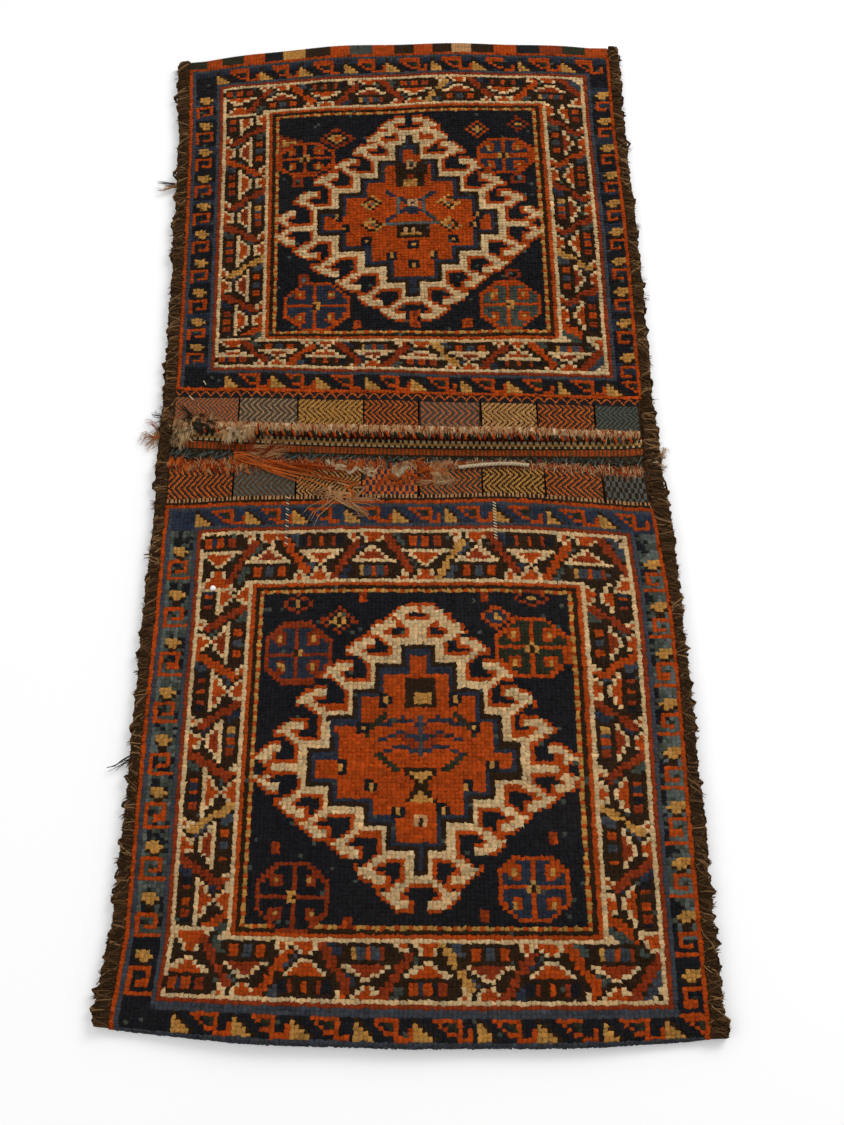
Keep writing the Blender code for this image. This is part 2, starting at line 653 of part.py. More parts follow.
def woven_strip():
    """Weave the strip, fold its ends over and give the one piece that back and faces are."""
    outline = [(-STRIP_HALF, -STRIP_END_NEAR), (STRIP_HALF, -STRIP_END_NEAR)]
    outline += [(STRIP_HALF, STRIP_END_FAR), (-STRIP_HALF, STRIP_END_FAR)]
    yarn_names = ["kilim", "navy", "indigo", "teal", "ivory", "madder", "rust", "gold", "brown", "tan", "moss"]

    outer = Chart()
    faces = ((True, FAR_PILE, FAR_BORDERS, FAR_TIER), (False, NEAR_PILE, NEAR_BORDERS, NEAR_TIER))
    for far, pile, borders, tier in faces:
        PileFace(outer, far, *pile, pile[0] - borders[0], pile[1] + borders[1], tier).weave()
    weave_panels(outer)
    inner = Chart()
    gap, half = FAR_LIP - NEAR_LIP, FLAT_HALF - BRIDGE_MARGIN
    for low, high, yarn_name in BRIDGE_BANDS:
        inner.box(-half, half, NEAR_LIP + low * gap, NEAR_LIP + high * gap, yarn_name, RIDGED)
    for chart in (outer, inner):
        for box in slit_boxes():
            chart.box(*box, yarn_names[0], -1)

    pile_side = weave_side(outer, outline, yarn_names)
    lining_side = weave_side(inner, outline, yarn_names)
    raise_levels(pile_side, STEPS)
    raise_levels(lining_side, STEPS)
    bmesh.ops.translate(pile_side, verts=pile_side.verts, vec=(0, 0, CLOTH / 2))
    bmesh.ops.scale(lining_side, vec=(1, 1, -1), verts=lining_side.verts)
    bmesh.ops.translate(lining_side, verts=lining_side.verts, vec=(0, 0, -CLOTH / 2))
    bmesh.ops.reverse_faces(lining_side, faces=lining_side.faces)

    rim = [edge for edge in pile_side.edges if edge.is_boundary]
    walls = bmesh.ops.extrude_edge_only(pile_side, edges=rim)
    dropped = [item for item in walls["geom"] if isinstance(item, bmesh.types.BMVert)]
    bmesh.ops.translate(pile_side, verts=dropped, vec=(0, 0, -CLOTH))
    lining_data = bpy.data.meshes.new("lining")
    lining_side.to_mesh(lining_data)
    lining_side.free()
    pile_side.from_mesh(lining_data)
    bpy.data.meshes.remove(lining_data)
    bmesh.ops.remove_doubles(pile_side, verts=pile_side.verts, dist=2e-6)
    for vert in pile_side.verts:
        vert.co = fold(*vert.co)
    bmesh.ops.triangulate(pile_side, faces=pile_side.faces)
    return add_object("woven_strip", pile_side, yarn_names)


def sweep(name, sections, yarn_name, cap):
    """Join a row of like outlines into one closed body, its ends filled with the faces of cap."""
    mesh = bmesh.new()
    rings = [[mesh.verts.new(point) for point in section] for section in sections]
    size = len(rings[0])
    for ring, following in zip(rings, rings[1:]):
        for index in range(size):
            after = (index + 1) % size
            mesh.faces.new((ring[index], ring[after], following[after], following[index]))
    for corners in cap:
        mesh.faces.new([rings[0][index] for index in reversed(corners)])
        mesh.faces.new([rings[-1][index] for index in corners])
    bmesh.ops.triangulate(mesh, faces=mesh.faces, quad_method="SHORT_EDGE")
    return add_object(name, mesh, [yarn_name])


def binding_section(y, side, bulge):
    """Give the C-shaped outline of a side binding at y, wrapped round the cloth edges."""
    low = back_height(STRIP_HALF) - CLOTH / 2 - CLEARANCE
    stacked = y > FAR_LIP - BINDING_STEP or y < NEAR_LIP + BINDING_STEP
    top = face_height(STRIP_HALF, y) if stacked else back_height(STRIP_HALF)
    high = top + CLOTH / 2 + CLEARANCE
    inside = STRIP_HALF + CLEARANCE
    flange = STRIP_HALF - BINDING_REACH
    outside = WIDTH / 2 + bulge * SCALLOP
    crown = high + BINDING_WALL + bulge * BINDING_BULGE
    outline = [
        (flange, high + BINDING_WALL * 0.5),
        ((flange + inside) / 2, crown),
        (outside - 0.001, high),
        (outside, (high + low) / 2),
        (outside - 0.001, 0.0),
        (flange, 0.0),
        (flange, low),
        (inside, low),
        (inside, high),
        (flange, high),
    ]
    section = []
    for u, z in outline:
        x, floor_y = spread(side * u, y)
        section.append((x, floor_y, z))
    return section


def binding_stations():
    """Give the places along a binding where its outline is set, each with its bulge."""
    reach = TANGENT + FOLD_RADIUS * 0.6
    count = 2 * round(reach * 2 / SCALLOP_PITCH)
    stations = [(-reach + 2 * reach * step / count, step % 2) for step in range(count + 1)]
    for lip, outward in ((FAR_LIP, -1), (NEAR_LIP, 1)):
        clear = [(y, bulge) for y, bulge in stations if abs(y - lip) > 3 * BINDING_STEP]
        close = lip + outward * BINDING_STEP / 2
        stations = clear + [(close, 0), (close + outward * BINDING_STEP, 0)]
    return sorted(stations)


def binding_outside(y):
    """Give how far out a binding reaches at y."""
    stations = binding_stations()
    for (start, first), (end, last) in zip(stations, stations[1:]):
        if start <= y <= end:
            return WIDTH / 2 + SCALLOP * (first + (last - first) * (y - start) / (end - start))
    return WIDTH / 2


def side_binding(name, side):
    """Wrap one side seam from fold to fold with scalloped goat hair."""
    sections = [binding_section(y, side, bulge) for y, bulge in binding_stations()]
    return sweep(name, sections, "goat_hair", CLASP_CAP)


def mouth_edging(name, far, yarn_name):
    """Overcast one mouth edge: a C-shaped roll over the lip of the face."""
    lip = FAR_LIP if far else NEAR_LIP
    inward = 1 if far else -1
    ends = FLAT_HALF - 0.0005
    places = [-ends] + [u for u in across_places() if abs(u) < ends] + [ends]
    sections = []
    for u in places:
        level = face_height(u, lip)
        top = level + CLOTH / 2 + CLEARANCE
        low = level - CLOTH / 2 - CLEARANCE
        room = level - back_height(u) - CLOTH - 2 * CLEARANCE
        under = min(EDGING_WALL * 0.8, room * 0.8)
        deep = lip + inward * EDGING_REACH
        edge = lip - inward * CLEARANCE
        out = lip - inward * (CLEARANCE + EDGING_WALL)
        outline = [
            (deep, top + EDGING_WALL * 0.6),
            ((deep + edge) / 2, top + EDGING_WALL),
            (edge, top + EDGING_WALL * 0.8),
            (out, (top + low) / 2),
            (edge, low - under),
            (deep, low - under * 0.75),
            (deep, low),
            (edge, low),
            (edge, top),
            (deep, top),
        ]
        section = []
        for y, z in outline:
            slope = face_height(u, y) - level if abs(y - deep) < 1e-9 else 0.0
            x, floor_y = spread(u, y)
            section.append((x, floor_y, z + slope))
        sections.append(section)
    return sweep(name, sections, yarn_name, CLASP_CAP)


def closing_loops(name, yarn_name):
    """Run the braid of closing loops along the far mouth, just outside its edging."""
    outer = FAR_LIP - 2 * CLEARANCE - EDGING_WALL
    reach = FLAT_HALF - 0.004
    sections = []
    for step in range(2 * LOOP_COUNT + 1):
        u = -reach + reach * step / LOOP_COUNT
        deep = LOOP_DEPTH * (1.0 if step % 2 else 0.55)
        level = face_height(u, outer)
        outline = [
            (outer, level - LOOP_HEIGHT * 0.35),
            (outer, level + LOOP_HEIGHT * 0.35),
            (outer - deep * 0.5, level + LOOP_HEIGHT / 2),
            (outer - deep, level),
            (outer - deep * 0.5, level - LOOP_HEIGHT / 2),
        ]
        sections.append([(*spread(u, y), z) for y, z in outline])
    return sweep(name, sections, yarn_name, (tuple(range(len(sections[0]))),))


def surface_height(u, y):
    """Give the height of the top surface of the cloth or of its mouth edging."""
    top = face_height(u, y) + CLOTH / 2
    for lip, inward in ((FAR_LIP, 1), (NEAR_LIP, -1)):
        if -EDGING_WALL <= (y - lip) * inward <= EDGING_REACH:
            return top + CLEARANCE + EDGING_WALL
    if y > FAR_PILE[1] or y < NEAR_PILE[0]:
        return top + PILE
    return top + RIDGE


def tuft_outline(length, width, heading):
    """Give the rounded outline of a frayed tuft round its root, turned to its heading."""
    shape = [(a, -b) for a, b in TUFT_OUTLINE] + [(a, b) for a, b in reversed(TUFT_OUTLINE)]
    turn = math.radians(heading)
    cos, sin = math.cos(turn), math.sin(turn)
    return [(length * a * cos - width * b * sin, length * a * sin + width * b * cos) for a, b in shape]


def mound(name, outline, low, height, yarn_name):
    """Raise one outline into a low closed mound whose flat top is a smaller copy of its foot."""
    mesh = bmesh.new()
    foot = mesh.faces.new([mesh.verts.new((x, y, low)) for x, y in outline])
    middle = foot.calc_center_median()
    raised = bmesh.ops.extrude_face_region(mesh, geom=[foot])
    top = [item for item in raised["geom"] if isinstance(item, bmesh.types.BMVert)]
    bmesh.ops.scale(mesh, verts=top, vec=(TUFT_TOP, TUFT_TOP, 1.0), space=Matrix.Translation(-middle))
    bmesh.ops.translate(mesh, verts=top, vec=(0.0, 0.0, height))
    bmesh.ops.triangulate(mesh, faces=mesh.faces)
    return add_object(name, mesh, [yarn_name])


def tufts():
    """Lay the frayed tufts on the mouths and set the loose ends against the side bindings."""
    for name, lip, u, beyond, heading, length, width, yarn_name in TUFTS:
        y = lip + beyond
        shape = tuft_outline(length, width, heading)
        low = max(surface_height(u + a, y + b) for a, b in shape) + CLEARANCE
        mound(name, [spread(u + a, y + b) for a, b in shape], low, TUFT_THICKNESS, yarn_name)
    for name, side, y, heading, length, width, yarn_name in SIDE_TUFTS:
        shape = tuft_outline(length, width, heading)
        root = max(binding_outside(y + b) + CLEARANCE - side * a for a, b in shape)
        outline = [spread(side * root + a, y + b) for a, b in shape]
        mound(name, outline, SIDE_TUFT_HEIGHT, SIDE_TUFT_THICKNESS, yarn_name)


def smooth_route(points, spacing):
    """Read even points from a smooth curve through a few."""
    ends = [points[0]] + list(points) + [points[-1]]
    route = []
    for before, start, end, after in zip(ends, ends[1:], ends[2:], ends[3:]):
        count = max(1, round(math.dist(start, end) / spacing))
        for step in range(count):
            t = step / count
            place = []
            for a, b, c, d in zip(before, start, end, after):
                square, cube = 2 * a - 5 * b + 4 * c - d, 3 * b - a - 3 * c + d
                place.append(0.5 * (2 * b + (c - a) * t + square * t ** 2 + cube * t ** 3))
            route.append(tuple(place))
    return route + [points[-1]]


def yarn_cord(name, places, radius, yarn_name):
    """Lay one loose yarn over the near mouth as a tube with closed ends."""
    points = []
    for u, y in places:
        points.append((*spread(u, y), surface_height(u, y) + radius + 2 * CLEARANCE))
    route = smooth_route(points, radius * 2 * YARN_SPACING)
    curve = bpy.data.curves.new(name, "CURVE")
    curve.dimensions = "3D"
    curve.bevel_depth = radius
    curve.bevel_resolution = 2
    curve.use_fill_caps = True
    spline = curve.splines.new("POLY")
    spline.points.add(len(route) - 1)
    for point, place in zip(spline.points, route):
        point.co = (*place, 1.0)
    curve.materials.append(yarn(yarn_name))
    thing = bpy.data.objects.new(name, curve)
    bpy.context.scene.collection.objects.link(thing)
    return thing


def centre_on_floor():
    """Move the bag so that the middle of its outer box stands over the origin."""
    corners = [corner for thing in bpy.data.objects if thing.type == "MESH" for corner in thing.data.vertices]
    shift = [-(min(c.co[axis] for c in corners) + max(c.co[axis] for c in corners)) / 2 for axis in (0, 1)]
    for thing in bpy.data.objects:
        thing.location = (*shift, 0.0)


def main():
    """Build the bag."""
    clear_scene()
    woven_strip()
    side_binding("left_side_binding", -1)
    side_binding("right_side_binding", 1)
    mouth_edging("far_mouth_edging", True, "tan")
    mouth_edging("near_mouth_edging", False, "rust")
    closing_loops("closing_loop_braid", "moss")
    tufts()
    yarn_cord("cream_cord", CREAM_CORD, CREAM_CORD_RADIUS, "cream")
    yarn_cord("loose_orange_yarn", LONG_YARN, LONG_YARN_RADIUS, "orange")
    centre_on_floor()


main()
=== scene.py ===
"""Looks of the kilim saddle bag: knotted pile, flatweave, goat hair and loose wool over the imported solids.

The woven strip is described flat, u across and v along, and folded over the middle exactly as the
solids are. The knotted faces are drafted knot by knot on a chart, then every knot is raised, leaned
and carried to its place. Lengths are in metres unless a name ends in _mm; a draft is read in the
millimetres of the bag as it is seen spread out, x from its left and y from its far end.
"""
import logging
import math
from dataclasses import dataclass, field
from enum import Enum
from typing import Callable, Iterable, Sequence

import bmesh
import bpy
import numpy as np
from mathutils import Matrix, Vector


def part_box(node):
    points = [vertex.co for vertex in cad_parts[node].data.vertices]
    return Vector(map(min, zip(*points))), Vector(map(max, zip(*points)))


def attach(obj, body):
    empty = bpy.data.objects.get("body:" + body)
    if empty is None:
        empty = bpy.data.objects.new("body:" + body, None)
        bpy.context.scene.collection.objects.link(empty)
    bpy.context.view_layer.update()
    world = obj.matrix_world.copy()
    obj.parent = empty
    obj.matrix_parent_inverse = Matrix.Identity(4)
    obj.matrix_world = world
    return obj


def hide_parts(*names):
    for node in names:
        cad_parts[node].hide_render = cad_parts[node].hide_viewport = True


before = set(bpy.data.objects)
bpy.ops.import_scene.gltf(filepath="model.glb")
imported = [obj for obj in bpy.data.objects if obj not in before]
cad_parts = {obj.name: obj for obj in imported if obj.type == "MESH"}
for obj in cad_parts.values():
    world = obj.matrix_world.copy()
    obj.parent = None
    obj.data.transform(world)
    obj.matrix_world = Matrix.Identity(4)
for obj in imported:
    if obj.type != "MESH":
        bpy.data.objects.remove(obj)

LOG = logging.getLogger("saddle_bag")
FLOOR_GAP = 0.0004
SEED = 20
Point = tuple[float, float]
Triple = tuple[float, float, float]
Box = tuple[float, float, float, float]
Places = tuple[np.ndarray, np.ndarray]
Put = Callable[[float, float], Point]
Colour = Triple


class Yarn(Enum):
    """The dyed yarns of the weaving, each with its colour in linear light."""

    NAVY = (0.0085, 0.0090, 0.0115)
    INDIGO = (0.0200, 0.0250, 0.0380)
    TEAL = (0.0480, 0.0560, 0.0440)
    BLUE = (0.0210, 0.0300, 0.0500)
    IVORY = (0.5600, 0.3750, 0.1850)
    MADDER = (0.3550, 0.0480, 0.0045)
    RUST = (0.2100, 0.0280, 0.0060)
    GOLD = (0.4200, 0.2000, 0.0450)
    BROWN = (0.0230, 0.0110, 0.0050)
    MOSS = (0.0210, 0.0220, 0.0120)
    TAN = (0.4400, 0.2250, 0.0950)
    SLATE = (0.0860, 0.0980, 0.0860)
    ORANGE = (0.5200, 0.1050, 0.0140)
    CREAM = (0.6000, 0.4700, 0.3000)
    KILIM = (0.0950, 0.0400, 0.0140)
    STEEL = (0.0420, 0.0470, 0.0560)

    @property
    def number(self) -> int:
        """Give the yarn's place in the order of the enum."""
        return list(Yarn).index(self)


DYES = np.array([yarn.value for yarn in Yarn])


def wools(names: str) -> tuple[Yarn, ...]:
    """Read a row of yarns from their names."""
    return tuple(Yarn[name] for name in names.split())


def numbers_of(yarns: Iterable[Yarn]) -> np.ndarray:
    """Give the numbers of some yarns."""
    return np.array([yarn.number for yarn in yarns])


def smoothstep(low: float, high: float, value: np.ndarray) -> np.ndarray:
    """Rise smoothly from 0 at low to 1 at high.

    Args:
        low: Where the rise starts.
        high: Where the rise ends.
        value: The places to read.

    Returns:
        The share of the rise at each place.
    """
    t = np.clip((value - low) / (high - low), 0.0, 1.0)
    return t * t * (3 - 2 * t)


# Place along the bag, then how far the left seam, left border, right border and right seam are shifted
SEAM_SHIFTS = (
    (-0.60, 0.009, 0.004, 0.005, 0.004),
    (-0.56, 0.011, 0.005, 0.007, 0.005),
    (-0.50, 0.017, 0.009, 0.008, 0.003),
    (-0.38, 0.017, 0.006, 0.009, 0.005),
    (-0.30, 0.016, 0.005, 0.011, 0.005),
    (-0.25, 0.015, 0.005, 0.012, 0.006),
    (-0.19, 0.014, 0.005, 0.013, 0.006),
    (-0.15, 0.012, 0.004, 0.013, 0.008),
    (-0.09, 0.013, 0.003, 0.010, 0.008),
    (-0.05, 0.012, 0.003, 0.008, 0.008),
    (0.0, 0.010, 0.003, 0.006, 0.005),
    (0.08, 0.013, 0.005, 0.007, 0.002),
    (0.17, 0.013, 0.005, 0.007, 0.003),
    (0.30, 0.013, 0.005, 0.008, 0.003),
    (0.45, 0.015, 0.006, 0.005, -0.001),
    (0.56, 0.012, 0.005, 0.005, 0.000),
)
EDGE_PLACES, LEFT_TRIM, LEFT_PILE, RIGHT_PILE, RIGHT_EDGE = np.array(SEAM_SHIFTS).T


@dataclass
class ClothShape:
    """The shape of the folded strip, with the same sizes as the solids have."""

    length: float = 1.176
    width: float = 0.560
    waist: float = 0.030
    waist_shift: float = 0.006
    near_flare: float = 0.018
    flare_run: float = 0.28
    end_bow: float = 0.008
    end_splay: float = 0.0155
    mouth_skew: float = 0.0115
    mouth_dip: float = 0.006
    cloth: float = 0.0030
    fullness: float = 0.0120
    seam_gap: float = 0.0008
    ripple: float = 0.0009
    ripple_length: float = 0.240
    seam_lift: float = 0.0026
    lift_run: float = 0.020
    far_lip: float = 0.0315
    near_lip: float = -0.0080
    binding_wall: float = 0.0024
    binding_reach: float = 0.0145
    clearance: float = 0.0004
    pucker: float = 0.0016
    near_droop: float = 0.0095
    left_pile: float = 0.2604
    right_pile: float = 0.2651
    pull_start: float = 0.10
    pull_reach: float = 1.3
    shift: np.ndarray = field(default_factory=lambda: np.zeros(3))

    @property
    def half_length(self) -> float:
        """Half of the bag's length."""
        return self.length / 2

    @property
    def strip_half(self) -> float:
        """Half of the woven strip's width."""
        return self.width / 2 - self.binding_wall - self.clearance

    @property
    def flat_half(self) -> float:
        """Half of the width between the sewn side margins."""
        return self.strip_half - self.binding_reach - 0.002

    @property
    def fold_radius(self) -> float:
        """Radius of the folds at both ends."""
        return (self.cloth + self.fullness) / 2

    @property
    def tangent(self) -> float:
        """How far from the middle the strip starts to turn."""
        return self.half_length - self.fold_radius - self.cloth / 2

    @property
    def fold_run(self) -> float:
        """Length of strip in one fold."""
        return math.pi * self.fold_radius

    def face_run(self, y: float, far: bool) -> float:
        """Give the place along the flat strip of a place y on the far or the near face."""
        whole = 2 * self.tangent + self.fold_run
        return whole - y if far else -(whole + y)

    def spread(self, u: np.ndarray, y: np.ndarray) -> Places:
        """Carry places on a true rectangle to the slightly waisted and skewed bag.

        Args:
            u: Places across the strip.
            y: Places along the bag.

        Returns:
            The places as x and y on the floor.
        """
        along = np.minimum(np.abs(y) / self.half_length, 1.0)
        side = u / (self.width / 2)
        middle = 1 - along**2
        flare = self.near_flare * smoothstep(0.0, self.flare_run, -y)
        x = u * (1 - self.waist * middle + flare) + self.waist_shift * middle
        bow = self.end_bow * side**2 * along**4
        window = smoothstep(0.19, 0.10, y) * smoothstep(-0.05, 0.03, y)
        skew = (self.mouth_skew * side - self.mouth_dip * side**2) * window
        droop = self.near_droop * smoothstep(0.35, 1.0, side)
        droop = droop * smoothstep(-0.26, -0.06, y) * smoothstep(0.02, -0.03, y)
        x = x + self.edge_shift(u, y)
        return x, y * (1 + self.end_splay * side) - np.sign(y) * bow - skew - droop

    def edge_shift(self, u: np.ndarray, y: np.ndarray) -> np.ndarray:
        """Give how far the seams and the borders beside them are pulled in or out.

        Args:
            u: Places across the strip.
            y: Places along the bag.

        Returns:
            The shift across at each place.
        """
        left = np.clip((-self.left_pile - u) / (self.width / 2 - self.left_pile), 0.0, self.pull_reach)
        right = np.clip((u - self.right_pile) / (self.width / 2 - self.right_pile), 0.0, self.pull_reach)
        trim_pile = np.interp(y, EDGE_PLACES, LEFT_PILE)
        trim_edge = np.interp(y, EDGE_PLACES, LEFT_TRIM)
        trim = (trim_pile + (trim_edge - trim_pile) * left) * smoothstep(self.pull_start, self.left_pile, -u)
        pile = np.interp(y, EDGE_PLACES, RIGHT_PILE)
        edge = np.interp(y, EDGE_PLACES, RIGHT_EDGE)
        return trim + (pile + (edge - pile) * right) * smoothstep(self.pull_start, self.right_pile, u)

    def back_height(self, u: np.ndarray) -> np.ndarray:
        """Give the mid-height of the back cloth."""
        margin = (np.abs(u) - self.flat_half + self.lift_run) / self.lift_run
        return self.cloth / 2 + self.seam_lift * np.clip(margin, 0.0, 1.0)

    def face_height(self, u: np.ndarray, y: np.ndarray) -> np.ndarray:
        """Give the mid-height of a pouch's face."""
        across = 1 - np.minimum(np.abs(u) / self.flat_half, 1.0) ** 3
        wave = np.sin(2 * math.pi * y / self.ripple_length + 5 * u)
        small = np.sin(31 * u + 9 * y + 1.3) * np.sin(17 * y - 13 * u) * self.pucker
        full = (self.fullness - self.seam_gap + self.ripple * wave + small) * across
        return self.back_height(u) + self.cloth + self.seam_gap + full

    def fold(self, points: np.ndarray) -> np.ndarray:
        """Carry points of the flat strip to their places in the folded bag.

        Args:
            points: Rows of u, v and w, the height over the middle of the cloth.

        Returns:
            Rows of x, y and z in the frame of the solids.
        """
        u, v, w = points.T
        end = np.where(v > 0, 1.0, -1.0)
        run = np.abs(v)
        low = self.back_height(u)
        folded = run - self.tangent - self.fold_run
        y_face = self.tangent - folded
        high = self.face_height(u, end * self.tangent)
        quarter = math.pi / 2
        turn = np.clip(math.pi * (run - self.tangent) / self.fold_run - quarter, -quarter, quarter)
        radius = (high - low) / 2 + w
        y = np.where(run <= self.tangent, run, self.tangent + radius * np.cos(turn))
        z = np.where(run <= self.tangent, low - w, (high + low) / 2 + radius * np.sin(turn))
        on_face = folded > 0
        y = np.where(on_face, y_face, y)
        z = np.where(on_face, self.face_height(u, end * y_face) + w, z)
        x, floor_y = self.spread(u, end * y)
        return np.stack([x, floor_y, z], axis=1) + self.shift

    def on_face(self, u: np.ndarray, y: np.ndarray, height: np.ndarray) -> np.ndarray:
        """Give points at a height over the top of a face's cloth.

        Args:
            u: Places across the strip.
            y: Places along the bag.
            height: Heights over the cloth's top surface.

        Returns:
            Rows of x, y and z in the frame of the solids.
        """
        u, y, height = np.broadcast_arrays(*(np.asarray(value, float) for value in (u, y, height)))
        x, floor_y = self.spread(u, y)
        z = self.face_height(u, y) + self.cloth / 2 + height
        return np.stack([x, floor_y, z], axis=-1) + self.shift

    def settle(self, low: Sequence[float], high: Sequence[float]) -> None:
        """Find how far the solids were moved to stand over the origin.

        Args:
            low: Lowest corner of the woven strip's solid.
            high: Highest corner of the woven strip's solid.
        """
        across = np.linspace(-self.strip_half, self.strip_half, 41)
        along = np.linspace(-self.tangent - self.fold_run / 2, self.tangent + self.fold_run / 2, 401)
        grid_u, grid_v = (axis.ravel() for axis in np.meshgrid(across, along))
        places = self.fold(np.stack([grid_u, grid_v, np.full_like(grid_u, self.cloth / 2)], axis=1))
        middle = (places.min(axis=0) + places.max(axis=0)) / 2
        self.shift = np.array([(low[0] + high[0]) / 2 - middle[0], (low[1] + high[1]) / 2 - middle[1], 0.0])


@dataclass(frozen=True)
class Viewpoint:
    """Where the bag is seen from: it sets the camera, and how a raised face is read off the view."""

    place: Triple = (0.0104, -0.634, 1.198)
    pitch: float = 66.6
    heading: float = 0.816
    lens: float = 40.0
    sensor: float = 36.0
    face_top: float = 0.0190
    middle_x_mm: float = 280
    middle_y_mm: float = 580

    def true_place(self, x_mm: np.ndarray, y_mm: np.ndarray) -> Places:
        """Undo the shift that the face's height gives in the view.

        Args:
            x_mm: Millimetres from the left of the spread bag as it is seen.
            y_mm: Millimetres from its far end as it is seen.

        Returns:
            Places x and y on the bag, in metres from its middle.
        """
        share = self.face_top / (self.place[2] - self.face_top)
        x = ((x_mm - self.middle_x_mm) / 1000 + self.place[0] * share) / (1 + share)
        y = ((self.middle_y_mm - y_mm) / 1000 + self.place[1] * share) / (1 + share)
        return x, y

    def on_strip(self, cloth: ClothShape, x_mm: np.ndarray, y_mm: np.ndarray) -> Places:
        """Turn places read off the spread bag into places u and y on the strip.

        Args:
            cloth: The shape of the bag.
            x_mm: Millimetres from the left.
            y_mm: Millimetres from the far end.

        Returns:
            Places u across and y along the strip.
        """
        x, y = self.true_place(x_mm, y_mm)
        middle = 1 - np.minimum(np.abs(y) / cloth.half_length, 1.0) ** 2
        narrow = 1 - cloth.waist * middle + cloth.near_flare * smoothstep(0.0, cloth.flare_run, -y)
        return (x - cloth.waist_shift * middle) / narrow, y


@dataclass
class NodeTree:
    """A short way to lay and join the nodes of one material."""

    tree: bpy.types.NodeTree

    def add(self, kind: str, links: dict | None = None, **settings: object) -> bpy.types.Node:
        """Lay one node.

        Args:
            kind: The node's type.
            links: Input name or number to a value or to another node's output.
            **settings: The node's own settings.

        Returns:
            The node.
        """
        node = self.tree.nodes.new(kind)
        for name, value in settings.items():
            setattr(node, name, value)
        self.feed(node, links or {})
        return node

    def feed(self, node: bpy.types.Node, links: dict) -> None:
        """Set or link a node's inputs."""
        for name, value in links.items():
            if isinstance(value, bpy.types.NodeSocket):
                self.tree.links.new(value, node.inputs[name])
            else:
                node.inputs[name].default_value = value

    def math(self, operation: str, first: object, second: object = 0.5) -> bpy.types.NodeSocket:
        """Join two values by one sum."""
        return self.add("ShaderNodeMath", {0: first, 1: second}, operation=operation).outputs[0]

    def span(self, value: object, low: float, high: float) -> bpy.types.NodeSocket:
        """Carry a value from 0..1 to low..high."""
        links = {"Value": value, "To Min": low, "To Max": high}
        return self.add("ShaderNodeMapRange", links).outputs["Result"]

    def noise(self, coordinates: object, scale: float, detail: float = 3.0) -> bpy.types.NodeSocket:
        """Lay a noise."""
        links = {"Vector": coordinates, "Scale": scale, "Detail": detail}
        return self.add("ShaderNodeTexNoise", links).outputs["Fac"]

    def stretch(self, coordinates: object, scale: Triple, turn: float = 0.0) -> bpy.types.NodeSocket:
        """Stretch and turn coordinates."""
        links = {"Vector": coordinates, "Scale": scale, "Rotation": (0.0, 0.0, turn)}
        return self.add("ShaderNodeMapping", links).outputs[0]

    def shade(self, colour: object, factor: object) -> bpy.types.NodeSocket:
        """Multiply a colour by a value."""
        return self.add("ShaderNodeVectorMath", {0: colour, "Scale": factor}, operation="SCALE").outputs[0]

    def mix(self, factor: object, first: object, second: object) -> bpy.types.NodeSocket:
        """Mix two colours."""
        links = {"Factor": factor, "A": first, "B": second}
        return self.add("ShaderNodeMix", links, data_type="RGBA").outputs["Result"]

    def seen_directly(self) -> bpy.types.NodeSocket:
        """Give 1 for what is seen straight, mirrored or through glass, and 0 for what only lights."""
        path = self.add("ShaderNodeLightPath").outputs
        direct = self.math("MAXIMUM", path["Is Camera Ray"], path["Is Glossy Ray"])
        return self.math("MAXIMUM", direct, path["Is Transmission Ray"])


